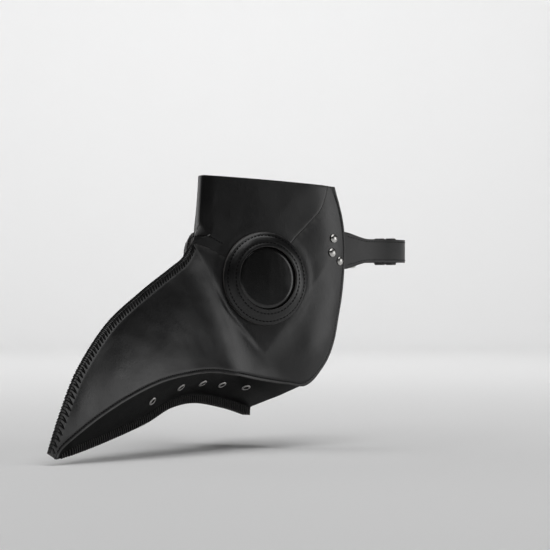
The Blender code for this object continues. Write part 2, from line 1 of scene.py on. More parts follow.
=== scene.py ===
"""Looks of the plague doctor mask: black satin leather, laced ridge and keel, goggle rings, vents."""

import math

import bmesh
import bpy
from mathutils import Matrix, Vector, noise


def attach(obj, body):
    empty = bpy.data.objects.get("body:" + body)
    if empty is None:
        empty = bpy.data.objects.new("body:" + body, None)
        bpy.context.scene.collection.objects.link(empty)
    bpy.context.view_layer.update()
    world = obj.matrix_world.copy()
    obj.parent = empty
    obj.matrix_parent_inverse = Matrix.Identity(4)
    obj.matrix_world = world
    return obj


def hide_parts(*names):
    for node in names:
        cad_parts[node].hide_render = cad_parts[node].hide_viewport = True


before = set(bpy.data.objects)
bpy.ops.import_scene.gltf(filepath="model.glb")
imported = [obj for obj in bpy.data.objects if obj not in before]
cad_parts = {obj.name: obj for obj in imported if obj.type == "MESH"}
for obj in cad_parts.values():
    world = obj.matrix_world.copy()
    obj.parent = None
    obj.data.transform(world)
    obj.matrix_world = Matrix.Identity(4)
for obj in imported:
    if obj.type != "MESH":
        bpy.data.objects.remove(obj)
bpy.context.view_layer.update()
MM = 0.001

# The mask's own measures, in millimetres: f is forward of the eyes, z is up, w is sideways.
BRIDGE = (71.8, 29.4)
RIDGE = [(274.5, -131.7), (256.8, -101.0), (233.8, -68.8), (194.9, -35.0), (150.0, -11.5),
         (106.0, 8.0), (86.9, 16.6), BRIDGE]
KEEL = [(262.6, -137.2), (209.2, -128.4), (146.7, -115.7), (108.3, -104.4), (70.0, -101.5),
        (24.3, -107.6), (-14.0, -116.0)]
BROW_TOP_Z = 86.0
SEAM_FRONT = [(264.1, -137.3), (254.8, -126.6), (225.0, -108.5), (188.7, -92.2), (150.0, -81.2),
              (104.0, -76.2), (75.0, -76.8), (47.0, -80.0)]
SEAM_REAR = [(47.0, -80.0), (21.0, -85.2), (-2.0, -88.8), (-16.0, -90.0), (-30.0, -80.0),
             (-43.5, -62.0), (-53.5, -27.0), (-59.5, 14.0), (-58.0, 50.0), (-51.0, 78.0)]
BROW_SEAM = [BRIDGE, (60.0, 25.2), (46.0, 16.5), (28.0, 9.0), (8.0, 15.0), (-7.6, 31.9),
             (-20.0, 44.0), (-34.0, 59.0), (-43.0, 78.5)]
LEATHER = 2.0
BEAK_SHARE = 0.56
EYE_CENTRE = Vector((36.0, -18.0, 0.0))
EYE_YAW = math.radians(59.0)
EYE_TILT = math.radians(3.8)
EYE_AXIS = Vector((math.sin(EYE_YAW) * math.cos(EYE_TILT), -math.cos(EYE_YAW) * math.cos(EYE_TILT),
                   math.sin(EYE_TILT)))
RING_OUT = 39.0
RING_IN = 26.4
ROW_OUT = RING_OUT - 3.0
ROW_IN = RING_IN + 3.4
VENT_F = [148.7, 111.9, 81.1, 52.1, 25.2]
RIVETS = [(-44.5, 34.0), (-42.0, 22.0), (-52.0, 15.0)]
STRAP_Z = 24.0
STRAP_T = 2.2
BAR_X = 8.0
BACK_Y = 186.0


# ---------------- finishes

class Value:
    """One output of a node tree; sums and products on it add Math nodes."""

    def __init__(self, tree, socket):
        self.tree = tree
        self.socket = socket

    def with_other(self, operation, other):
        return self.tree.add('ShaderNodeMath', {"operation": operation}, {0: self, 1: other})

    def __add__(self, other):
        return self.with_other('ADD', other)

    def __sub__(self, other):
        return self.with_other('SUBTRACT', other)

    def __mul__(self, other):
        return self.with_other('MULTIPLY', other)

    __radd__ = __add__
    __rmul__ = __mul__

    def between(self, low, high, to_low=0.0, to_high=1.0):
        return self.tree.add('ShaderNodeMapRange', {"interpolation_type": 'SMOOTHSTEP'},
                             {0: self, 1: low, 2: high, 3: to_low, 4: to_high})


class NodeTree:
    """The nodes of a material or of the world, all added in one way."""

    def __init__(self, owner):
        owner.use_nodes = True
        self.nodes = owner.node_tree.nodes
        self.links = owner.node_tree.links

    def add(self, kind, settings, inputs, output=0):
        node = self.nodes.new(kind)
        for key, setting in settings.items():
            setattr(node, key, setting)
        for key, value in inputs.items():
            if isinstance(value, Value):
                self.links.new(value.socket, node.inputs[key])
            else:
                node.inputs[key].default_value = value
        return Value(self, node.outputs[output])


class Finish(NodeTree):
    """A material and the few textures its finishes are mixed from."""

    def __init__(self, name, colour, roughness, **fixed):
        self.material = bpy.data.materials.new(name)
        super().__init__(self.material)
        self.shader = self.nodes["Principled BSDF"]
        self.shader.inputs["Base Color"].default_value = (*colour, 1.0)
        self.shader.inputs["Roughness"].default_value = roughness
        for key, number in fixed.items():
            self.shader.inputs[key.replace("_", " ").title().replace("Ior", "IOR")].default_value = number
        self.place = self.add('ShaderNodeTexCoord', {}, {}, "Object")

    def stretched(self, scale):
        return self.add('ShaderNodeMapping', {}, {"Vector": self.place, "Scale": scale})

    def cloud(self, scale, detail=3.0, rough=0.55, where=None, warp=0.0):
        return self.add('ShaderNodeTexNoise', {}, {"Vector": where or self.place, "Scale": scale,
                                                   "Detail": detail, "Roughness": rough,
                                                   "Distortion": warp})

    def cells(self, scale, feature='F1', where=None, smooth=0.4):
        settings = {"feature": feature}
        inputs = {"Vector": where or self.place, "Scale": scale}
        if feature == 'SMOOTH_F1':
            inputs["Smoothness"] = smooth
        return self.add('ShaderNodeTexVoronoi', settings, inputs)

    def blend_colours(self, mask, first, second):
        return self.add('ShaderNodeMix', {"data_type": 'RGBA'},
                        {0: mask, 6: first if isinstance(first, Value) else (*first, 1.0),
                         7: (*second, 1.0)}, 2)

    def raise_by(self, height, depth, strength=1.0, over=None):
        inputs = {"Height": height, "Distance": depth, "Strength": strength}
        if over is not None:
            inputs["Normal"] = over
        return self.add('ShaderNodeBump', {}, inputs)

    def wear(self, socket, value):
        self.links.new(value.socket, self.shader.inputs[socket])

    def edge_mark(self):
        return self.add('ShaderNodeAttribute', {"attribute_name": "edge"}, {}, "Fac")


RUBBED = (0.042, 0.040, 0.039)


def satin_leather(name, dark, dusty, gloss, pebble=1.0, shine=0.5):
    """Black coated leather: pebble grain, fine creases, rubbed edges."""
    coat = Finish(name, dark, gloss, specular_ior_level=shine)
    bent = coat.cloud(60.0, 2.0)
    grain_place = coat.add('ShaderNodeVectorMath', {"operation": 'ADD'},
                                {0: coat.place,
                                 1: coat.add('ShaderNodeVectorMath', {"operation": 'SCALE'},
                                                  {0: coat.cloud(420.0, 1.0), "Scale": 0.0007})})
    grain = coat.cells(900.0, 'SMOOTH_F1', grain_place, 0.35)
    pores = coat.cloud(2600.0, 2.0)
    creases = coat.cloud(150.0, 5.0, 0.62, coat.stretched((1.0, 1.7, 0.8)), 0.6)
    crease_lines = (creases - 0.5) * (creases - 0.5)
    broad = coat.cloud(17.0, 3.0)
    rubbed = coat.edge_mark() * coat.cloud(240.0, 4.0, 0.6).between(0.35, 0.7)
    dust = broad.between(0.35, 0.75) * 0.7
    worn = coat.blend_colours(dust, dark, dusty)
    coat.wear("Base Color", coat.blend_colours(rubbed * 0.85, worn, RUBBED))
    coat.wear("Roughness", gloss + (broad - 0.5) * 0.16 + (grain - 0.3) * 0.12 + rubbed * 0.12
                   + (bent - 0.5) * 0.05)
    fine = coat.raise_by(grain * 0.75 + pores * 0.25, 0.00007 * pebble, 0.4)
    soft = coat.raise_by(crease_lines.between(0.0, 0.03), 0.00008, 0.25, fine)
    coat.wear("Normal", soft)
    return coat.material


def cut_edge(name, colour):
    """Raw edge of cut leather: fibrous and lighter than its face."""
    raw = Finish(name, colour, 0.7)
    fibre = raw.cloud(1500.0, 4.0, 0.7)
    raw.wear("Base Color", raw.blend_colours(fibre.between(0.3, 0.75), [c * 0.5 for c in colour], colour))
    raw.wear("Roughness", 0.6 + fibre * 0.2)
    raw.wear("Normal", raw.raise_by(fibre, 0.0002, 0.6))
    return raw.material


def lining_cloth(name):
    """Knitted backing on the leather's inner face."""
    cloth = Finish(name, (0.03, 0.03, 0.032), 0.85, sheen_weight=0.25, sheen_roughness=0.5)
    warp, weft = (cloth.add('ShaderNodeTexWave', {"bands_direction": way},
                            {"Vector": cloth.place, "Scale": 420.0, "Distortion": 1.2, "Detail": 1.0})
                  for way in "YZ")
    knit = warp * 0.5 + weft * 0.5
    fluff = cloth.cloud(700.0, 4.0, 0.7)
    cloth.wear("Base Color", cloth.blend_colours(knit * 0.7 + fluff * 0.3, (0.016, 0.016, 0.017),
                                                 (0.05, 0.05, 0.052)))
    cloth.wear("Normal", cloth.raise_by(knit + fluff * 0.5, 0.00025, 0.7))
    return cloth.material


def waxed_thread(name, colour, twist, shine):
    """Twisted waxed thread."""
    thread = Finish(name, colour, 0.6, specular_ior_level=shine)
    strand = thread.add('ShaderNodeTexWave', {"bands_direction": 'DIAGONAL'},
                        {"Vector": thread.place, "Scale": twist, "Distortion": 0.6})
    fuzz = thread.cloud(2400.0, 3.0)
    thread.wear("Base Color", thread.blend_colours(strand * 0.7 + fuzz * 0.3,
                                                   [c * 0.45 for c in colour], [c * 1.7 for c in colour]))
    thread.wear("Roughness", 0.5 + fuzz * 0.25)
    thread.wear("Normal", thread.raise_by(strand, 0.00012, 0.8))
    return thread.material


def nickel_plate(name, clean, tarnished):
    """Nickel with light scratches and a little tarnish."""
    plate = Finish(name, clean, 0.2, metallic=1.0)
    tarnish = plate.cloud(260.0, 4.0, 0.6)
    scratch = plate.cloud(900.0, 3.0, 0.6, plate.stretched((1.0, 6.0, 1.0)))
    plate.wear("Base Color", plate.blend_colours(tarnish.between(0.45, 0.8), clean, tarnished))
    plate.wear("Roughness", 0.14 + tarnish * 0.16 + scratch * 0.1)
    plate.wear("Normal", plate.raise_by(scratch, 0.00004, 0.4))
    return plate.material


def shaded_vent_bore(name):
    """Metal inside the vents painted near-black, with a random mottle: painted shade in the bore."""
    bore = Finish(name, (0.02, 0.02, 0.02), 0.6, metallic=0.6)
    bore_mottle = bore.cloud(800.0, 3.0)
    bore.wear("Base Color", bore.blend_colours(bore_mottle, (0.01, 0.01, 0.01), (0.06, 0.058, 0.055)))
    bore.wear("Normal", bore.raise_by(bore_mottle, 0.0001, 0.5))
    return bore.material


def smoked_lens(name):
    """Dark smoked plastic, polished, with faint wipe marks."""
    glass = Finish(name, (0.012, 0.012, 0.0115), 0.12, specular_ior_level=0.5, coat_weight=0.15,
                   coat_roughness=0.08)
    smear = glass.cloud(55.0, 4.0, 0.6, glass.stretched((1.0, 2.5, 0.6)))
    speck = glass.cloud(1300.0, 2.0).between(0.68, 0.78)
    glass.wear("Base Color", glass.blend_colours(speck * 0.4, (0.010, 0.010, 0.0098), (0.05, 0.05, 0.05)))
    glass.wear("Roughness", 0.13 + smear.between(0.4, 0.8) * 0.12 + speck * 0.1)
    glass.wear("Normal", glass.raise_by(smear, 0.0003, 0.12))
    return glass.material


def stiff_foam(name):
    foam = Finish(name, (0.02, 0.02, 0.02), 0.9)
    holes = foam.cells(1400.0)
    foam.wear("Base Color", foam.blend_colours(holes, (0.012, 0.012, 0.012), (0.04, 0.04, 0.04)))
    foam.wear("Normal", foam.raise_by(holes, 0.0004, 0.7))
    return foam.material


FACE_LEATHER = satin_leather("black_satin_leather", (0.0045, 0.0044, 0.0046), (0.010, 0.0098, 0.0098), 0.31)
RING_LEATHER = satin_leather("ring_leather", (0.0045, 0.0044, 0.0046), (0.011, 0.0108, 0.0108), 0.29, 0.8)
STRAP_LEATHER = satin_leather("strap_leather", (0.006, 0.0058, 0.0058), (0.014, 0.0135, 0.013), 0.42, 1.2)
# The underside's leather is the face leather painted darker and given less shine: painted shade on the panel
# that faces down.
SHADED_UNDER_LEATHER = satin_leather("underside_leather_painted_shade", (0.0012, 0.0012, 0.0012), (0.0028, 0.0027, 0.0027), 0.45,
                              1.0, 0.08)
CUT_EDGE = cut_edge("leather_cut_edge", (0.085, 0.08, 0.078))
LINING = lining_cloth("lining_cloth")
RIDGE_THREAD = waxed_thread("ridge_lacing_thread", (0.006, 0.006, 0.006), 1900.0, 0.2)
KEEL_THREAD = waxed_thread("keel_lacing_thread", (0.035, 0.034, 0.034), 1900.0, 0.5)
FINE_THREAD = waxed_thread("fine_sewing_thread", (0.003, 0.003, 0.003), 3200.0, 0.08)
NICKEL = nickel_plate("nickel_plate", (0.60, 0.59, 0.57), (0.30, 0.29, 0.27))
# The vent eyelets' nickel is a darker copy of the rivets' nickel. Both its clean and its tarnished tones are
# painted darker, as painted shade on the eyelets that face down.
SHADED_VENT_METAL = nickel_plate("vent_metal_painted_shade", (0.42, 0.41, 0.40), (0.10, 0.098, 0.095))
# Near-black painted shade for the inside of the vent holes.
SHADED_BORE = shaded_vent_bore("shaded_vent_bore")
LENS = smoked_lens("smoked_lens")
FOAM = stiff_foam("ring_core_foam")


# ---------------- curves and the mask's surface

def lerp(a, b, t):
    return a + (b - a) * t


def smooth_step(t):
    t = min(1.0, max(0.0, t))
    return t * t * (3.0 - 2.0 * t)


def catmull(points, steps=20):
    ends = [[2.0 * a - b for a, b in zip(points[0], points[1])]] + [list(p) for p in points]
    ends.append([2.0 * a - b for a, b in zip(points[-1], points[-2])])
    out = []
    for p0, p1, p2, p3 in zip(ends, ends[1:], ends[2:], ends[3:]):
        for k in range(steps):
            t = k / steps
            out.append([0.5 * (2.0 * b + (c - a) * t + (2.0 * a - 5.0 * b + 4.0 * c - d) * t * t
                               + (3.0 * b - a - 3.0 * c + d) * t ** 3)
                        for a, b, c, d in zip(p0, p1, p2, p3)])
    out.append(list(points[-1]))
    return out


class Rail:
    """A smooth curve read by its share of length, 0 to 1."""

    def __init__(self, points, dense=True):
        self.line = catmull(points) if dense else [list(p) for p in points]
        self.runs = [0.0]
        for a, b in zip(self.line, self.line[1:]):
            self.runs.append(self.runs[-1] + math.dist(a, b))
        self.length = self.runs[-1]

    def at(self, share):
        want = min(1.0, max(0.0, share)) * self.length
        low, high = 0, len(self.runs) - 2
        while low < high:
            mid = (low + high + 1) // 2
            if self.runs[mid] <= want:
                low = mid
            else:
                high = mid - 1
        t = (want - self.runs[low]) / max(1e-9, self.runs[low + 1] - self.runs[low])
        return [lerp(a, b, t) for a, b in zip(self.line[low], self.line[low + 1])]


def shifted(points, by):
    """A side-view line moved sideways by a distance."""
    out = []
    for k, here in enumerate(points):
        a = points[max(0, k - 1)]
        b = points[min(len(points) - 1, k + 1)]
        run = math.dist(a, b)
        out.append((here[0] + (b[1] - a[1]) / run * by, here[1] - (b[0] - a[0]) / run * by))
    return out


RIDGE_RAIL = Rail(RIDGE)
FRONT_RAIL = Rail(SEAM_FRONT)
REAR_RAIL = Rail(SEAM_REAR)
BROW_RAIL_LOW = Rail(shifted(catmull(BROW_SEAM), -0.15), False)
BROW_RAIL_HIGH = Rail(shifted(catmull(BROW_SEAM), 0.15), False)
UNDER_SEAM = Rail([(262.0, -134.6)] + SEAM_FRONT[1:] + SEAM_REAR[1:4])
UNDER_KEEL = Rail(KEEL)


def brow_forward(z):
    return 75.73 - 0.129 * z - 0.000158 * z * z


def seam_half_width(f):
    left = min(1.0, max(0.0, (264.1 - f) / 200.0))
    return max(1.2, 30.0 * (1.0 - (1.0 - left) ** 2) ** 0.9)


def bowed(t):
    """Beak half-width's share of the seam's, from ridge to seam."""
    return t * (1.0 + 0.3 * (1.0 - t))


def side_of(point, start, end):
    """Signed distance from a line in the side view, positive on its left going start to end."""
    run = math.dist(start, end)
    return ((end[0] - start[0]) * (point[1] - start[1]) - (end[1] - start[1]) * (point[0] - start[0])) / run


FOLD_FOOT = (22.5, -66.0)
FOLD_FRONT = (39.5, -42.0)
FOLD_BACK = (-39.4, 15.8)
FOLD_DROP = 1.5
FOLD_REACH = 15.0
WELT = 1.9
SEAM_ROW = 2.7
BROW_BEND = 9.5
CHEEK_FLARE = 0.648      # how fast the cheek widens behind the bridge
CHEEK_CURL = 0.000414    # and how that slows down
JAW_Z = -40.0            # below this the cheek tucks in under the jaw
JAW_TUCK = 5.0
HEAD_HALF = 70.0         # half-width where the cheek runs straight back
TEMPLE_TURN = 18.0       # sharpness of the turn at the temple
VALLEY = 4.2             # sharpness of the valley between beak and cheek
PLATE_REACH = 48.0       # the flat under the goggle ends here
PLATE_BLEND = 7.0
FACET_TOP = -12.0        # the flat facet between the fold's arms starts here


def fold_drop(here, tip, side, fade):
    """Leather falling away outside one arm of the fold under the goggle."""
    run = math.dist(FOLD_FOOT, tip)
    along = ((here[0] - FOLD_FOOT[0]) * (tip[0] - FOLD_FOOT[0])
             + (here[1] - FOLD_FOOT[1]) * (tip[1] - FOLD_FOOT[1])) / run
    past = side * side_of(here, FOLD_FOOT, tip)
    past = max(0.0, 0.5 * (past + math.sqrt(past * past + 1.2)) - 0.2)
    share = smooth_step((run + fade * 0.6 - along) / fade) * smooth_step((along + 22.0) / 24.0)
    return FOLD_DROP * share * (past / FOLD_REACH) * math.exp(1.0 - past / FOLD_REACH)


def crumple(f, z):
    """Soft hand-made unevenness of the cheek and beak leather."""
    here = (f, z)
    wave = noise.noise(Vector((f * 0.022, z * 0.026, 3.1))) * 0.8
    wave += noise.noise(Vector((f * 0.055, z * 0.06, 9.7))) * 0.28
    wave += noise.noise(Vector((f * 0.14, z * 0.15, 1.3))) * 0.06
    if z > 40.0 or f > 130.0:
        return wave
    return wave - 0.45 * fold_drop(here, FOLD_FRONT, -1.0, 20.0) - fold_drop(here, FOLD_BACK, 1.0, 40.0)


def skin(f, z, beak=0.0):
    """Half-width of the mask's outer surface at (f, z)."""
    back = max(0.0, brow_forward(z) - f)
    cheek = CHEEK_FLARE * back - CHEEK_CURL * back * back
    if z < JAW_Z:
        cheek -= JAW_TUCK * ((JAW_Z - z) / 50.0) ** 2
    cheek = max(0.0, cheek)
    side = HEAD_HALF - 0.0011 * (z - 8.0) ** 2
    cheek = cheek * (1.0 + (cheek / side) ** TEMPLE_TURN) ** (-1.0 / TEMPLE_TURN)
    width = (cheek ** VALLEY + beak ** VALLEY) ** (1.0 / VALLEY)
    flat = EYE_CENTRE.x - (-EYE_AXIS.y * (f + EYE_CENTRE.y) + EYE_AXIS.z * z) / EYE_AXIS.x
    reach = (Vector((flat, -f, z)) - EYE_CENTRE).length
    hold = smooth_step((PLATE_REACH - reach) / PLATE_BLEND)
    if z < FACET_TOP:
        outside = max(-side_of((f, z), FOLD_FOOT, FOLD_FRONT), side_of((f, z), FOLD_FOOT, FOLD_BACK))
        inside = smooth_step((1.5 - outside) / 4.0) * smooth_step((76.0 - reach) / 20.0)
        hold = max(hold, 0.8 * inside * smooth_step((FACET_TOP - z) / 22.0))
    settle = smooth_step((reach - RING_OUT + 1.0) / 9.0) * smooth_step(width / 6.0)
    return lerp(width, flat, hold) + crumple(f, z) * settle


def side_rails(s):
    if s < BEAK_SHARE:
        return RIDGE_RAIL.at(s / BEAK_SHARE), FRONT_RAIL.at(s / BEAK_SHARE)
    rest = (s - BEAK_SHARE) / (1.0 - BEAK_SHARE)
    return BROW_RAIL_LOW.at(rest), REAR_RAIL.at(rest)


def rolled_edge(down):
    """Extra half-width where the ridge edge is rolled over and laced."""
    wedge = 0.38 * down
    return max(0.0, WELT * math.sqrt(min(1.0, down / 0.9)) - wedge * 0.72) * smooth_step((7.2 - down) / 3.0)


def side_at(s, t):
    """Outer surface of the side panel in mm: s from beak tip to rear, t from ridge to lower edge."""
    top, low = side_rails(s)
    f = lerp(top[0], low[0], t)
    z = lerp(top[1], low[1], t)
    roll = rolled_edge(t * math.dist(top, low)) * smooth_step((BEAK_SHARE - s) / 0.02)
    rise = (1.0 - t) * math.dist(top, low)
    pull = 0.45 * math.exp(-((rise - SEAM_ROW) / 0.8) ** 2)
    return Vector((skin(f, z, seam_half_width(low[0]) * bowed(t)) + roll - pull, -f, z))


def facing(surface, s, t, outward, step=0.004):
    a = surface(min(1.0, s + step), t) - surface(max(0.0, s - step), t)
    b = surface(s, min(1.0, t + step)) - surface(s, max(0.0, t - step))
    out = a.cross(b).normalized()
    return out if out.dot(outward) > 0.0 else -out


def brow_at(s, t):
    """Forehead panel in mm: s from bridge to top edge, t from the centre fold to its seam."""
    up = lerp(BRIDGE[1] + 0.2, BROW_TOP_Z, s)
    edge = BROW_RAIL_HIGH.at(lerp(0.03, 1.0, s))
    f = lerp(brow_forward(up), edge[0], t)
    z = lerp(up, edge[1], t) + 2.0 * t * (1.0 - t) * s
    width = skin(f, z)
    bend = BROW_BEND * smooth_step(s * 3.0)
    if width < 0.839 * bend:
        f = brow_forward(up) - 1.836 * bend + math.sqrt(bend * bend - width * width)
    return Vector((width, -f, z))


FIN_SHARE = 0.76
FIN_HALF = 2.35
FIN_DROP = 7.0


def under_at(s, t):
    """Underside panel in mm: s from beak tip to rear, t from the side seam down the pinched keel."""
    seam = UNDER_SEAM.at(s)
    keel = UNDER_KEEL.at(s)
    edge = max(0.9, skin(seam[0], seam[1], seam_half_width(seam[0])) - LEATHER - 0.5)
    tuck = lerp(-0.45, 0.6, smooth_step((edge - 0.9) / 1.5))
    fin = min(FIN_HALF, edge * 0.8)
    drop = seam[1] + tuck - keel[1]
    fin_drop = min(FIN_DROP, drop * 0.45)
    flat = min(1.0, t / FIN_SHARE)
    down = max(0.0, (t - FIN_SHARE) / (1.0 - FIN_SHARE))
    round_off = 0.5 * math.exp(-abs(t - FIN_SHARE) / 0.05)
    w = lerp(edge, fin, flat) + round_off * 0.7 * min(1.0, edge / 12.0)
    f = lerp(seam[0], keel[0], t)
    z = seam[1] + tuck - (drop - fin_drop) * flat - fin_drop * down
    share = flat * (1.0 - flat) * 4.0
    sag = (0.35 + noise.noise(Vector((f * 0.03, w * 0.05, 5.0))) * 0.9) * share * min(1.0, edge / 12.0)
    return Vector((w + sag * 0.6, -f, z - sag * 0.8))


def cheek_place(f, z):
    """Point and outward direction on the cheek, in mm."""
    by_f = (skin(f + 0.5, z) - skin(f - 0.5, z))
    by_z = (skin(f, z + 0.5) - skin(f, z - 0.5))
    return Vector((skin(f, z), -f, z)), Vector((1.0, by_f, -by_z)).normalized()


# ---------------- making pieces

def read_mesh(obj, name):
    """An object's mesh with its modifiers, in place."""
    graph = bpy.context.evaluated_depsgraph_get()
    mesh = bpy.data.meshes.new_from_object(obj.evaluated_get(graph))
    mesh.name = name
    bpy.data.objects.remove(obj, do_unlink=True)
    return mesh


def loose_object(name, data):
    obj = bpy.data.objects.new(name, data)
    bpy.context.scene.collection.objects.link(obj)
    return obj


def mesh_of(bm, name, finishes=()):
    mesh = bpy.data.meshes.new(name)
    bm.to_mesh(mesh)
    bm.free()
    for finish in finishes:
        mesh.materials.append(finish)
    return mesh


ROUND = 80.0             # shading angle that keeps rods and stitches smooth


def piece(name, mesh, nodes=(), body="mask", sharp=38.0):
    """A finished piece on its body, standing for the CAD nodes named."""
    mesh.shade_smooth()
    mesh.set_sharp_from_angle(angle=math.radians(sharp))
    obj = loose_object(name, mesh)
    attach(obj, body)
    if nodes:
        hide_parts(*nodes)
    return obj


def other_hand(mesh, name):
    """The right-hand copy of a left-hand mesh."""
    bm = bmesh.new()
    bm.from_mesh(mesh)
    bmesh.ops.scale(bm, vec=(-1.0, 1.0, 1.0), verts=bm.verts)
    bmesh.ops.reverse_faces(bm, faces=bm.faces)
    return mesh_of(bm, name, list(mesh.materials))


def both_sides(stem, mesh, node, number="", sharp=38.0):
    """A left-hand piece and its mirrored right-hand twin."""
    made = []
    for hand, shape in (("_left", mesh), ("_right", other_hand(mesh, stem + "_right"))):
        made.append(piece(stem + hand + number, shape, [node + hand + number], sharp=sharp))
    return made


def pattern(columns, rows, surface, rim):
    """A cut sheet laid on a surface; the edge mark is 1 where its rim gets rubbed."""
    bm = bmesh.new()
    bmesh.ops.create_grid(bm, x_segments=columns, y_segments=rows, size=0.5)
    mark = bm.verts.layers.float.new("edge")
    for vert in bm.verts:
        u = vert.co.x + 0.5
        v = vert.co.y + 0.5
        vert[mark] = min(1.0, max(0.0, rim(u, v)))
        vert.co = surface(u, v) * MM
    return bm


def outwards(bm, outward):
    bmesh.ops.remove_doubles(bm, verts=bm.verts, dist=0.00002)
    bmesh.ops.recalc_face_normals(bm, faces=bm.faces)
    big = max(bm.faces, key=lambda face: face.calc_area())
    if big.normal.dot(outward) < 0.0:
        bmesh.ops.reverse_faces(bm, faces=bm.faces)


def work(obj, kind, **settings):
    step = obj.modifiers.new(kind.lower(), kind)
    for key, setting in settings.items():
        setattr(step, key, setting)


def trimmed(mesh, name, trim):
    """The part of a sheet on the left of a plane near the middle, closed again."""
    finishes = list(mesh.materials)
    bm = bmesh.new()
    bm.from_mesh(mesh)
    bmesh.ops.bisect_plane(bm, geom=bm.verts[:] + bm.edges[:] + bm.faces[:], dist=0.000001,
                           plane_co=(trim * MM, 0.0, 0.0), plane_no=(-1.0, 0.0, 0.0), clear_outer=True)
    rims = [edge for edge in bm.edges if edge.is_boundary]
    for face in bmesh.ops.holes_fill(bm, edges=rims, sides=0)["faces"]:
        face.material_index = 1
    bmesh.ops.recalc_face_normals(bm, faces=bm.faces)
    return mesh_of(bm, name, finishes)


def leather_wall(name, bm, outward, coats, thickness=LEATHER, offset=-1.0, trim=None, tools=(), bevel=0.3):
    """A leather piece with its thickness: face, raw edge and lining; trimmed, punched and edge-rounded."""
    outwards(bm, outward)
    obj = loose_object(name, mesh_of(bm, name, coats))
    work(obj, 'SOLIDIFY', thickness=thickness * MM, offset=offset, use_even_offset=True,
         material_offset=2, material_offset_rim=1)
    mesh = read_mesh(obj, name)
    if trim is not None:
        mesh = trimmed(mesh, name, trim)
    obj = loose_object(name, mesh)
    cutters = [loose_object("punch", tool) for tool in tools]
    for cutter in cutters:
        work(obj, 'BOOLEAN', operation='DIFFERENCE', solver='EXACT', object=cutter)
    work(obj, 'BEVEL', width=bevel * MM, segments=2, limit_method='ANGLE', angle_limit=math.radians(50.0),
         use_clamp_overlap=True)
    made = read_mesh(obj, name)
    for cutter in cutters:
        bpy.data.objects.remove(cutter, do_unlink=True)
    return made


LEFT = Vector((1.0, 0.0, 0.0))
BACK = Vector((0.0, 1.0, 0.0))
UP = Vector((0.0, 0.0, 1.0))
UNDER_OUT = Vector((0.4, 0.0, -1.0))


def placed(point, out):
    """Where a turned or punched piece goes: on a point in mm, its axis along out."""
    turn = UP.rotation_difference(out).to_matrix().to_4x4()
    return Matrix.Translation(point * MM) @ turn


def punch(point, out, radius, low, high, segments=48):
    bm = bmesh.new()
    bmesh.ops.create_cone(bm, cap_ends=True, segments=segments, radius1=radius * MM, radius2=radius * MM,
                          depth=(high - low) * MM)
    bmesh.ops.translate(bm, vec=(0.0, 0.0, (low + high) * 0.5 * MM), verts=bm.verts)
    bmesh.ops.transform(bm, matrix=placed(point, out), verts=bm.verts)
    bmesh.ops.recalc_face_normals(bm, faces=bm.faces)
    return mesh_of(bm, "punch", [CUT_EDGE])


def rivet_holes(low, high):
    return [punch(*cheek_place(*spot), 1.8, low, high, 24) for spot in RIVETS]


def turned(name, profile, segments, closed, place, finishes, index_at=None):
    """A turned piece from (radius, height) points in mm."""
    bm = bmesh.new()
    verts = [bm.verts.new((r * MM, 0.0, h * MM)) for r, h in profile]
    edges = [bm.edges.new(ends) for ends in zip(verts, verts[1:])]
    if closed:
        edges.append(bm.edges.new((verts[-1], verts[0])))
    bmesh.ops.spin(bm, geom=verts + edges, cent=(0.0, 0.0, 0.0), axis=(0.0, 0.0, 1.0), angle=math.tau,
                   steps=segments, use_merge=True)
    bmesh.ops.remove_doubles(bm, verts=bm.verts, dist=0.000005)
    bmesh.ops.recalc_face_normals(bm, faces=bm.faces)
    if index_at is not None:
        for face in bm.faces:
            middle = face.calc_center_median()
            face.material_index = index_at(math.hypot(middle.x, middle.y) / MM, middle.z / MM)
    bmesh.ops.transform(bm, matrix=place, verts=bm.verts)
    return mesh_of(bm, name, finishes)


def round_corners(points, radius, steps=5):
    """A closed outline, flat or in space, with its corners rounded."""
    points = [Vector(point) for point in points]
    out = []
    for k, corner in enumerate(points):
        before = points[k - 1] - corner
        after = points[(k + 1) % len(points)] - corner
        reach = min(radius, before.length * 0.45, after.length * 0.45)
        a = corner + before.normalized() * reach
        b = corner + after.normalized() * reach
        for n in range(steps + 1):
            t = n / steps
            out.append(a.lerp(corner, t).lerp(corner.lerp(b, t), t))
    return out


def round_rod(name, runs, radius, finish, closed=False, sides=2):
    """Thread or bent wire: round rods in one mesh, from lists of points in mm."""
    curve = bpy.data.curves.new(name, 'CURVE')
    curve.dimensions = '3D'
    curve.bevel_depth = radius * MM
    curve.bevel_resolution = sides
    curve.use_fill_caps = True
    for run in runs:
        line = curve.splines.new('POLY')
        line.points.add(len(run) - 1)
        for slot, point in zip(line.points, run):
            slot.co = (*(point * MM), 1.0)
        line.use_cyclic_u = closed
    mesh = read_mesh(loose_object(name, curve), name)
    mesh.materials.clear()
    mesh.materials.append(finish)
    return mesh


def sewn_rows(name, rows):
    """Stitches lying on rows of (point, outward, along) places in mm, each row with its own size."""
    grain = bmesh.new()
    bmesh.ops.create_uvsphere(grain, u_segments=8, v_segments=6, radius=1.0,
                              matrix=Matrix.Rotation(math.radians(90.0), 4, 'Y'))
    stitch = mesh_of(grain, "stitch")
    bm = bmesh.new()
    for spots, length, radius in rows:
        for point, out, along in spots:
            across = out.cross(along).normalized()
            turn = Matrix((along, across, out)).transposed().to_4x4()
            size = Matrix.Diagonal((length * 0.5 * MM, radius * MM, radius * 0.8 * MM, 1.0))
            lay = Matrix.Translation((point + out * radius * 0.1) * MM) @ turn @ size
            stitch.transform(lay)
            bm.from_mesh(stitch)
            stitch.transform(lay.inverted())
    bpy.data.meshes.remove(stitch)
    piece(name, mesh_of(bm, name, (FINE_THREAD,)), sharp=ROUND)


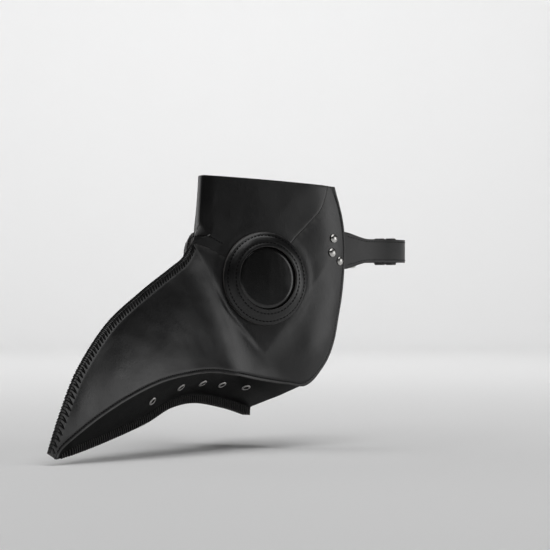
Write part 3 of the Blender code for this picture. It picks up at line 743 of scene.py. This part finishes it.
def spots_along(path, pitch):
    """Evenly spaced (point, outward, along) places on a list of (point, outward)."""
    out = []
    carry = pitch * 0.5
    for (a, na), (b, nb) in zip(path, path[1:]):
        run = (b - a).length
        while carry < run:
            t = carry / run
            out.append((a.lerp(b, t), na.lerp(nb, t).normalized(), (b - a).normalized()))
            carry += pitch
        carry -= run
    return out


def mirrored(point):
    return Vector((-point.x, point.y, point.z))


def both_hands(spots):
    return spots + [tuple(mirrored(v) for v in spot) for spot in spots]


# ---------------- leather panels

EYE_PLACE = placed(EYE_CENTRE, EYE_AXIS)
THREE_COATS = (FACE_LEATHER, CUT_EDGE, LINING)
MIDDLE_GAP = 0.15
RUB_WIDTH = 2.4          # how far in from its edge a panel is rubbed


def fine_at_ridge(v):
    """Rows drawn closer together at the ridge and at the lower seam."""
    return lerp(v * (0.3 + 0.7 * v), 1.0 - (1.0 - v) * (0.3 + 0.7 * (1.0 - v)), smooth_step(v))


def side_rim(u, v):
    top, low = side_rails(u)
    run = math.dist(top, low)
    gap = min(fine_at_ridge(v) * run * 0.45, (1.0 - fine_at_ridge(v)) * run, (1.0 - u) * 190.0)
    return 1.0 - gap / RUB_WIDTH


def lens_punch():
    return punch(EYE_CENTRE, EYE_AXIS, 26.9, -14.0, 14.0, 72)


cheek = pattern(200, 62, lambda u, v: side_at(u, fine_at_ridge(v)), side_rim)
cheek = leather_wall("cheek_leather", cheek, LEFT, THREE_COATS, trim=MIDDLE_GAP,
                     tools=[lens_punch()] + rivet_holes(-6.0, 4.0))
both_sides("cheek_leather", cheek, "side_panel")



def whole_brow(u, v):
    return brow_at(u, v * 2.0 - 1.0) if v >= 0.5 else mirrored(brow_at(u, 1.0 - v * 2.0))


brow = pattern(44, 96, whole_brow, lambda u, v: 1.0 - min(v, 1.0 - v, 1.0 - u) * 110.0 / RUB_WIDTH)
brow = leather_wall("brow_leather", brow, -BACK, THREE_COATS,
                    tools=[lens_punch(), other_hand(lens_punch(), "punch")])
piece("brow_leather", brow, ["forehead_panel"])


def vent_place(f, inset=11.0):
    """Point and outward direction of a vent on the underside."""
    s = min((abs(UNDER_SEAM.at(k / 200.0)[0] - f), k / 200.0) for k in range(201))[1]
    for _ in range(6):
        seam = UNDER_SEAM.at(s)
        t = inset / skin(seam[0], seam[1], seam_half_width(seam[0]))
        s = min(1.0, max(0.0, s + (-under_at(s, t).y - f) / 300.0))
    return under_at(s, t), facing(under_at, s, t, UNDER_OUT, 0.01)


VENTS = [vent_place(f) for f in VENT_F]
under = pattern(150, 34, under_at, lambda u, v: 1.0 - (1.0 - v) / 0.06)
under = leather_wall("under_leather", under, UNDER_OUT, (SHADED_UNDER_LEATHER, CUT_EDGE, LINING),
                     trim=MIDDLE_GAP, tools=[punch(*spot, 2.8, -6.0, 4.0, 28) for spot in VENTS], bevel=0.25)
both_sides("under_leather", under, "underside_panel")

# ---------------- goggle rings

RING_RUN = RING_OUT - RING_IN
RING_RISE = 7.6
RING_SKIN = 1.6


def ring_under(r):
    return 0.3 + (RING_OUT - r) * (RING_RISE - RING_SKIN) / RING_RUN


def ring_top(r):
    """Height of the ring leather's face at a radius."""
    across = (RING_OUT - r) / RING_RUN
    return lerp(2.2, RING_RISE + 0.25, across) + 0.9 * math.sin(math.pi * across) * (1.0 - 0.25 * across)


def ring_profile():
    face = [RING_OUT - 0.35 - (RING_RUN - 0.9) * k / 22.0 for k in range(23)]
    out = [(RING_OUT, ring_under(RING_OUT) + 0.15), (RING_OUT, 1.35)]
    out += [(r, ring_top(r) - (0.25 if k == 0 else 0.0)) for k, r in enumerate(face)]
    out += [(RING_IN + 0.25, RING_RISE + 0.05), (RING_IN, RING_RISE - 0.35),
            (RING_IN, RING_RISE - RING_SKIN + 0.2), (RING_IN + 0.5, ring_under(RING_IN + 0.5))]
    out += [(r, ring_under(r)) for r in (RING_IN + 5.0, RING_IN + 9.0, RING_OUT - 0.6)]
    return out


def ring_finish(r, h):
    if r > RING_OUT - 0.2 or r < RING_IN + 0.3:
        return 1
    return 0 if h > ring_under(r) + 0.5 else 2


ring = turned("goggle_ring", ring_profile(), 144, True, Matrix.Identity(4),
              (RING_LEATHER, CUT_EDGE, LINING), ring_finish)
for vert in ring.vertices:
    r = math.hypot(vert.co.x, vert.co.y) / MM
    turn = math.atan2(vert.co.y, vert.co.x)
    face = smooth_step((vert.co.z / MM - ring_under(r) - 0.4) / 0.6)
    rumple = noise.noise(Vector((math.cos(turn) * 2.2, math.sin(turn) * 2.2, r * 0.16))) * 0.28
    pull = -0.22 * math.exp(-((r - ROW_OUT) / 0.9) ** 2) - 0.22 * math.exp(-((r - ROW_IN) / 0.9) ** 2)
    vert.co.z += (rumple * smooth_step((RING_OUT - r) / 4.0) + pull) * face * MM
ring.transform(EYE_PLACE)
both_sides("goggle_ring", ring, "eye_ring")

core_low, core_high = 29.1, RING_OUT - 1.4
core_outline = [(core_low, 0.3), (core_high, 0.3), (core_high, ring_under(core_high) - 0.3),
                (core_low, ring_under(core_low) - 0.3)]
core = turned("goggle_core", round_corners(core_outline, 0.3, 4), 96, True, EYE_PLACE, (FOAM,))
for made in both_sides("goggle_core", core, "eye_ring_core"):
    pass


def domed(radius, low, rise, steps):
    """Heights of a shallow dome, from the middle out to a radius."""
    return [(radius * k / steps, low + rise * (1.0 - (k / steps) ** 2)) for k in range(steps + 1)]


lens_back = domed(26.0, 3.2, 1.1, 13)
lens_flange = [(26.4, 2.6), (26.5, 0.3), (28.6, 0.3), (28.6, 2.0), (28.3, 2.15), (27.3, 2.2), (27.0, 2.4)]
lens_bevel = [(26.95, 4.2), (26.8, 4.5), (26.5, 4.78), (26.1, 5.02), (25.6, 5.3), (25.1, 5.56), (24.6, 5.79),
              (24.0, 6.0)]
lens_front = domed(23.4, 6.15, 0.7, 16)[::-1]
lens = turned("goggle_lens", lens_back + lens_flange + lens_bevel + lens_front, 96, False, EYE_PLACE, (LENS,))
both_sides("goggle_lens", lens, "lens", sharp=60.0)

# ---------------- vents and rivets

def metal_pair(stem, node, number, profile, segments, closed, spot, finishes=(NICKEL,), index_at=None):
    """One turned metal piece and its twin on the other side."""
    mesh = turned(stem, profile, segments, closed, placed(*spot), finishes, index_at)
    both_sides(stem, mesh, node, "_%d" % number, 50.0)


rolled = [(2.1, 0.55), (2.2, 0.85), (2.45, 1.05), (2.8, 1.12), (3.2, 1.05), (3.6, 0.85), (3.9, 0.6),
          (4.0, 0.35), (3.6, 0.3), (2.5, 0.3), (2.5, -3.5), (3.4, -3.5), (3.4, -3.8), (3.1, -4.0), (2.4, -4.0),
          (2.1, -3.7)]
washer = round_corners([(2.8, -2.3), (4.6, -2.3), (4.6, -2.9), (2.8, -2.9)], 0.15, 2)
for number, spot in enumerate(VENTS, 1):
    # The bore faces of each eyelet take the near-black painted shade finish.
    metal_pair("vent_rim", "vent_eyelet", number, rolled, 40, True, spot, (SHADED_VENT_METAL, SHADED_BORE),
               lambda r, h: 1 if r < 2.35 and h < 0.8 else 0)
    metal_pair("vent_back", "vent_washer", number, washer, 32, True, spot)

cap = [(0.0, 0.32), (3.4, 0.32), (3.7, 0.42), (3.75, 0.7), (3.6, 1.0), (3.25, 1.4), (2.8, 1.72), (2.2, 2.05),
       (1.45, 2.32), (0.7, 2.46), (0.0, 2.5)]
shank = [(0.0, -6.0), (3.4, -5.85), (3.95, -5.4), (3.95, -5.1), (1.4, -5.1), (1.4, 0.0), (0.0, 0.0)]
for number, spot in enumerate(RIVETS, 1):
    metal_pair("rivet_dome", "rivet_cap", number, cap, 40, False, cheek_place(*spot))
    metal_pair("rivet_shank", "rivet_post", number, shank, 24, False, cheek_place(*spot))

# ---------------- lacing and stitching

def ridge_spot(s, down, lift, hand=1.0):
    """A place down the side from the ridge, lifted off the leather."""
    top, low = side_rails(s * BEAK_SHARE)
    t = down / math.dist(top, low)
    here = side_at(s * BEAK_SHARE, t)
    out = facing(side_at, s * BEAK_SHARE, t, Vector((1.0, -0.3, 0.5)), 0.002)
    here = here + out * lift
    return Vector((here.x * hand, here.y, here.z))


def ridge_top(s, lift):
    """A place over the ridge itself."""
    a = RIDGE_RAIL.at(s - 0.004)
    b = RIDGE_RAIL.at(s + 0.004)
    run = math.dist(a, b)
    return Vector((0.0, -(a[0] + b[0]) * 0.5 - (b[1] - a[1]) / run * lift,
                   (a[1] + b[1]) * 0.5 - (b[0] - a[0]) / run * lift))


def ridge_run():
    """One lacing thread zigzagging over the ridge from the tip to the bridge."""
    run = []
    s = 0.012
    while s < 0.985:
        pitch = lerp(5.6, 3.8, smooth_step(s / 0.5))
        down = lerp(7.6, 5.6, smooth_step(s / 0.35)) + 0.5 * noise.noise(Vector((s * 90.0, 0.5, 0.0)))
        step = pitch / RIDGE_RAIL.length
        for hand, at in ((1.0, 0.0), (-1.0, 0.5)):
            here = s + step * at
            run.append(ridge_spot(here, down, -0.4, hand))
            run.append(ridge_spot(here, down - 0.5, 0.42, hand))
            for share in (0.72, 0.45, 0.2):
                run.append(ridge_spot(here + step * 0.27 * (1.0 - share), down * share, 0.5, hand))
            run.append(ridge_top(min(0.995, here + step * 0.25), 0.75))
            for share in (0.2, 0.45, 0.72):
                run.append(ridge_spot(here + step * (0.5 - 0.27 * (1.0 - share)), down * share, 0.5, -hand))
            run.append(ridge_spot(here + step * 0.5, down - 0.5, 0.42, -hand))
        s += step
    return run


lace = round_rod("ridge_thread", [ridge_run()], 0.37, RIDGE_THREAD)
piece("ridge_thread", lace, ["ridge_lacing"], sharp=ROUND)


def keel_spot(s, up, lift):
    """A place on the pinched keel, up from its raw edge."""
    return under_at(s, 1.0 - (1.0 - FIN_SHARE) * up / FIN_DROP) + Vector((lift, 0.0, 0.0))


def keel_runs():
    """Whip stitches side by side over the keel."""
    runs = []
    s = 0.02
    while s < 0.985:
        reach = 6.0 + 0.5 * noise.noise(Vector((s * 80.0, 2.5, 0.0)))
        places = ((reach, -0.5), (reach - 0.4, 0.25), (reach * 0.55, 0.42), (0.6, 0.42), (0.0, 0.1))
        half = [keel_spot(s, up, lift) for up, lift in places]
        low = half[-1]
        half += [Vector((low.x * 0.7, low.y, low.z - 0.45)), Vector((0.0, low.y, low.z - 0.55))]
        runs.append(half + [mirrored(p) for p in half[-2::-1]])
        s += 2.9 / UNDER_KEEL.length
    return runs


keel = round_rod("keel_thread", keel_runs(), 0.48, KEEL_THREAD)
piece("keel_thread", keel, ["keel_lacing"], sharp=ROUND)


def seam_path():
    """Places along the side panel's lower edge, a little above it."""
    out = []
    for k in range(161):
        s = lerp(0.012, 0.985, k / 160.0)
        t = 1.0 - SEAM_ROW / math.dist(*side_rails(s))
        out.append((side_at(s, t), facing(side_at, s, t, LEFT)))
    return out


def ring_row(radius, pitch=3.3):
    """Stitches round the goggle ring at a radius."""
    count = int(math.tau * radius / pitch)
    spots = []
    turn = EYE_PLACE.to_3x3()
    for k in range(count):
        a = math.tau * k / count
        ray = Vector((math.cos(a), math.sin(a), 0.0))
        out = turn @ (ray * 0.45 + UP).normalized()
        along = turn @ Vector((-ray.y, ray.x, 0.0))
        here = EYE_PLACE @ ((ray * radius + UP * (ring_top(radius) - 0.12)) * MM)
        spots.append((here / MM, out, along))
    return spots


BROW_ROW = [(75.1, 33.2), (71.8, 34.6), (68.6, 35.4), (65.4, 35.8), (62.2, 35.7), (59.6, 35.1), (57.2, 34.1),
            (54.6, 32.5), (52.4, 30.9), (49.7, 29.6)]
seams = both_hands(spots_along(seam_path(), 2.6))
seams += both_hands(spots_along([cheek_place(*spot) for spot in BROW_ROW], 2.5))
rings = both_hands(ring_row(ROW_OUT) + ring_row(ROW_IN))
sewn_rows("seam_stitches", [(seams, 2.1, 0.42), (rings, 2.4, 0.46)])

# ---------------- head strap, buckle and keepers

TAB_LENGTH = 26.0
TAB_HALF = 16.0
TAB_FRONT = -34.0
BAND_HALF = 10.0
FOLD_R = 2.9
LOOP = [(69.0, 78.0), (74.5, 104.0), (75.5, 130.0), (71.0, 158.0)]
FRAME_REACH = 22.0
FRAME_LIFT = 3.6
FRAME_HALF = 13.2
CURL_R = 2.8


def tab_point(f, z):
    """Middle of the strap's tab, just inside the cheek."""
    point, out = cheek_place(f, z)
    return point - out * (LEATHER + 0.35 + STRAP_T * 0.5)


class Strap:
    """Middle surface of a strap: a tab inside the cheek, then a band round the head."""

    def __init__(self, path, fold):
        tail = [tab_point(TAB_FRONT - TAB_LENGTH, STRAP_Z + TAB_HALF * c / 6.0) for c in range(-6, 7)]
        self.lean = [p.x - tail[6].x for p in tail]
        self.band = Rail([(tail[6].x, tail[6].y)] + path)
        self.fold = Rail([self.band.at(1.0)] + [(x, y) for x, y, half in fold], False)
        self.fold_half = [half for x, y, half in fold]
        self.total = TAB_LENGTH + self.band.length + self.fold.length

    def at(self, u, v):
        """u runs 0..1 from the tab's end; v runs -1..1 from low edge to high edge."""
        run = u * self.total
        if run < TAB_LENGTH:
            half = TAB_HALF * min(1.0, 0.62 + 0.38 * math.sqrt(min(1.0, run / 6.5)))
            return tab_point(TAB_FRONT - run, STRAP_Z + half * v)
        run -= TAB_LENGTH
        if run < self.band.length:
            x, y = self.band.at(run / self.band.length)
            half = lerp(TAB_HALF, BAND_HALF, smooth_step(run / 36.0))
            settle = smooth_step(run / 29.0)
            place = (v + 1.0) * 6.0
            k = min(11, int(place))
            lean = lerp(self.lean[k], self.lean[k + 1], place - k)
            return Vector((x + lean * (1.0 - settle), y, STRAP_Z + half * v))
        share = min(1.0, (run - self.band.length) / self.fold.length)
        x, y = self.fold.at(share)
        place = share * self.fold.length
        k = 0
        while k < len(self.fold_half) - 1 and self.fold.runs[k + 1] < place:
            k += 1
        before = self.fold_half[k - 1] if k else BAND_HALF
        step = (place - self.fold.runs[k]) / max(0.001, self.fold.runs[k + 1] - self.fold.runs[k])
        return Vector((x, y, STRAP_Z + lerp(before, self.fold_half[k], min(1.0, step)) * v))


def slot_punch(low, high):
    bm = bmesh.new()
    bmesh.ops.create_cube(bm, size=1.0)
    low, high = Vector(low), Vector(high)
    for vert in bm.verts:
        vert.co = Vector(lerp(low[k], high[k], vert.co[k] + 0.5) for k in range(3)) * MM
    return mesh_of(bm, "punch", [CUT_EDGE])


STRAP_COATS = (STRAP_LEATHER, CUT_EDGE, LINING)


def strap_mesh(name, strap, tools):
    bm = pattern(260, 10, lambda u, v: strap.at(u, v * 2.0 - 1.0), lambda u, v: 1.0 - min(v, 1.0 - v) * 8.0)
    return leather_wall(name, bm, Vector((1.0, 1.0, 0.0)), STRAP_COATS, STRAP_T, 0.0,
                        tools=rivet_holes(-9.0, 0.0) + tools, bevel=0.45)


def strap_row(strap, last, side, first=0.14):
    """Stitches along one edge of a strap's outer face."""
    path = []
    for k in range(201):
        u = lerp(first, last, k / 200.0)
        a = strap.at(u, side)
        out = facing(lambda s, t: strap.at(s, t * 2.0 - 1.0), u, side * 0.5 + 0.5, Vector((1.0, 0.4, 0.0)))
        if a.y > 150.0 and abs(a.x) < 60.0:
            out = BACK.copy() if out.y > 0.0 else -out
        path.append((a + out * STRAP_T * 0.5, out))
    return spots_along(path, 3.4)


main_y = BACK_Y + FOLD_R
bar_fold = []
for k in range(17):
    turn = math.pi * k / 16.0
    bar_fold.append((BAR_X - FOLD_R * math.sin(turn), BACK_Y + FOLD_R * math.cos(turn), BAND_HALF))
bar_fold += [(24.0, BACK_Y - FOLD_R, BAND_HALF), (27.0, BACK_Y - FOLD_R, 8.0)]
left_strap = Strap(LOOP + [(60.0, main_y - 6.5), (52.0, main_y - 0.5), (47.0, main_y), (40.0, main_y),
                           (30.0, main_y), (20.0, main_y), (12.0, main_y)], bar_fold)
bar_slot = slot_punch((BAR_X - 7.0, BACK_Y - 6.0, STRAP_Z - 2.0), (BAR_X + 6.0, BACK_Y + 6.0, STRAP_Z + 2.0))
piece("strap_band_left", strap_mesh("strap_band_left", left_strap, [bar_slot]), ["strap_left"])

high_y = BACK_Y + FOLD_R + STRAP_T + 0.4
low_x = FRAME_REACH - BAR_X
tip_run = []
for k in range(8):
    t = k / 7.0
    tip_run.append((lerp(low_x, -BAR_X - 1.0, t), lerp(BACK_Y + 0.5, high_y, smooth_step(t)), BAND_HALF))
tip_run += [(x, high_y, half) for x, half in ((-20.0, BAND_HALF), (-34.0, BAND_HALF), (-48.0, BAND_HALF),
                                              (-53.0, 8.5), (-55.0, 6.2), (-56.0, 4.0))]
right_strap = Strap(LOOP + [(60.0, BACK_Y - 8.0), (51.0, BACK_Y - 1.0), (44.0, BACK_Y), (35.0, BACK_Y),
                            (26.0, BACK_Y)], tip_run)
tip_tools = [slot_punch((-3.0, BACK_Y - 5.0, STRAP_Z - 1.9), (8.5, BACK_Y + 12.0, STRAP_Z + 1.9))]
for x in (-48.0, -36.0, -24.0, -12.0, 24.0):
    tip_tools.append(punch(Vector((x, BACK_Y, STRAP_Z)), BACK, 1.5, -4.0, 10.0, 24))
right = other_hand(strap_mesh("strap_band_right", right_strap, tip_tools), "strap_band_right")
piece("strap_band_right", right, ["strap_right"])

left_rows = strap_row(left_strap, 0.88, 0.78) + strap_row(left_strap, 0.88, -0.78)
right_rows = strap_row(right_strap, 0.62, 0.78) + strap_row(right_strap, 0.62, -0.78)
sewn_rows("strap_stitches", [(left_rows + both_hands(right_rows)[len(right_rows):], 2.2, 0.34)])


def buckle_at(a, n, z=0.0):
    """Buckle place: a along the strap from the bar, n away from the head, z up."""
    return Vector((BAR_X - a, BACK_Y + n, STRAP_Z + z))


hoop = [buckle_at(0.0, 0.0, -FRAME_HALF), buckle_at(0.0, 0.0, FRAME_HALF),
        buckle_at(FRAME_REACH, FRAME_LIFT, FRAME_HALF), buckle_at(FRAME_REACH, FRAME_LIFT, -FRAME_HALF)]
hoop = round_rod("buckle_hoop", [round_corners(hoop, 2.6)], 1.5, NICKEL, True, 5)
piece("buckle_hoop", hoop, ["buckle_frame"], "buckle_frame", ROUND)
tongue = []
for k in range(21):
    turn = math.radians(50.0 + 220.0 * k / 20.0)
    tongue.append(buckle_at(CURL_R * math.cos(turn), CURL_R * math.sin(turn)))
tongue += [buckle_at(*p) for p in catmull([(2.5, -2.75), (5.0, -2.2), (10.0, 1.2), (15.0, 4.7), (19.0, 6.3),
                                           (22.0, 6.5), (24.5, 6.3)], 4)]
tongue = round_rod("buckle_tongue", [tongue], 1.0, NICKEL, False, 5)
piece("buckle_tongue", tongue, ["buckle_prong"], "buckle_prong", ROUND)


KEEPER_WIDE = 7.0
KEEPER_T = 1.6


def keeper(name, x, node, body):
    """A leather loop round both layers of strap."""
    low = BACK_Y + 0.6
    high = BACK_Y + 2.0 * STRAP_T + 3.4
    half = BAND_HALF + 1.2
    corners = [(0.0, y, STRAP_Z + z) for y, z in ((low, -half), (high, -half), (high, half), (low, half))]
    loop = round_corners(corners, KEEPER_T, 4)
    round_run = Rail(loop + loop[:1], False)

    def band(u, v):
        here = round_run.at(u)
        return Vector((x + KEEPER_WIDE * (v - 0.5), here[1], here[2]))

    bm = pattern(72, 6, band, lambda u, v: 1.0 - min(v, 1.0 - v) * KEEPER_WIDE / 1.6)
    mesh = leather_wall(name, bm, BACK, STRAP_COATS, KEEPER_T, 0.0)
    piece(name, mesh, [node], body)


keeper("keeper_fixed", 31.5, "keeper_loop_fixed", "mask")
keeper("keeper_sliding", 42.5, "keeper_loop_sliding", "sliding_keeper")

# ---------------- studio

FLOOR_Z = -0.1415
SWEEP_START = 2.9
SWEEP_CURVE = 0.9
CAMERA_TURN = math.radians(31.0)
TO_CAMERA = Vector((math.sin(CAMERA_TURN), -math.cos(CAMERA_TURN), 0.0))
CAMERA_DISTANCE = 2.2
CAMERA_AIM = Vector((0.04364, -0.01341, 0.00308))
MASK_MIDDLE = Vector((0.03, -0.08, -0.03))


def pale_paper(name):
    """Matt backdrop paper."""
    paper = Finish(name, (0.80, 0.80, 0.80), 0.8)
    tooth = paper.cloud(260.0, 4.0, 0.6)
    paper.wear("Normal", paper.raise_by(tooth, 0.0004, 0.15))
    return paper.material


def sweep_floor():
    """Floor that curves up into the backdrop behind the mask."""
    bm = bmesh.new()
    bmesh.ops.create_grid(bm, x_segments=2, y_segments=90, size=0.5)
    away = -TO_CAMERA
    beside = Vector((away.y, -away.x, 0.0))
    for vert in bm.verts:
        run = (vert.co.y + 0.5) * 8.3 - 3.9
        back, up = run, 0.0
        if run > SWEEP_START:
            turn = min(math.pi / 2.0, (run - SWEEP_START) / SWEEP_CURVE)
            back = SWEEP_START + SWEEP_CURVE * math.sin(turn)
            up = SWEEP_CURVE * (1.0 - math.cos(turn))
        vert.co = away * back + beside * vert.co.x * 11.0 + Vector((0.0, 0.0, FLOOR_Z + up))
    bmesh.ops.recalc_face_normals(bm, faces=bm.faces)
    mesh = mesh_of(bm, "paper_sweep", (pale_paper("pale_paper"),))
    mesh.shade_smooth()
    loose_object("paper_sweep", mesh)


def beside_mask(azimuth, elevation, distance=1.5):
    """A spot round the mask, by degrees from straight ahead and from level."""
    a, e = math.radians(azimuth), math.radians(elevation)
    away = Vector((math.sin(a) * math.cos(e), -math.cos(a) * math.cos(e), math.sin(e)))
    return MASK_MIDDLE + away * distance


def soft_lamp(name, spot, aim, size, power):
    """A soft rectangular lamp at a spot, turned to its aim."""
    lamp = bpy.data.lights.new(name, 'AREA')
    lamp.shape = 'RECTANGLE'
    lamp.size, lamp.size_y = size
    lamp.energy = power
    obj = loose_object(name, lamp)
    obj.location = spot
    obj.rotation_mode = 'QUATERNION'
    obj.rotation_quaternion = (Vector(aim) - Vector(spot)).to_track_quat('-Z', 'Y')


sweep_floor()
soft_lamp("right_side_panel", beside_mask(119.0, 5.0), MASK_MIDDLE, (1.0, 0.9), 5.4)
soft_lamp("left_side_panel", beside_mask(-88.0, 4.0), MASK_MIDDLE, (1.1, 0.8), 4.6)
soft_lamp("backdrop_wash", (-0.9, 1.3, 2.3), (-1.9, 3.4, 0.75), (3.6, 0.8), 72.0)
soft_lamp("floor_wash", (0.2, -0.4, 2.8), (0.1, -0.1, -0.2), (3.4, 3.4), 80.0)

# Pale near the floor, dark overhead.
world = bpy.data.worlds.new("studio_air")
bpy.context.scene.world = world
air = NodeTree(world)
height = air.add('ShaderNodeSeparateXYZ', {}, {0: air.add('ShaderNodeTexCoord', {}, {}, "Generated")}, "Z")
air.links.new(height.between(-0.14, 0.18, 0.30, 0.012).socket, air.nodes["Background"].inputs["Strength"])
air.nodes["Background"].inputs["Color"].default_value = (0.95, 0.97, 1.0, 1.0)
bpy.context.scene.view_settings.view_transform = 'Standard'

camera = bpy.data.cameras.new("camera")
camera.sensor_width = 36.0
camera.lens = 172.8
camera.clip_start = 0.05
camera.clip_end = 30.0
camera_object = loose_object("camera", camera)
camera_object.location = CAMERA_AIM + TO_CAMERA * CAMERA_DISTANCE
camera_object.rotation_mode = 'QUATERNION'
camera_object.rotation_quaternion = (-TO_CAMERA).to_track_quat('-Z', 'Y')
bpy.context.scene.camera = camera_object
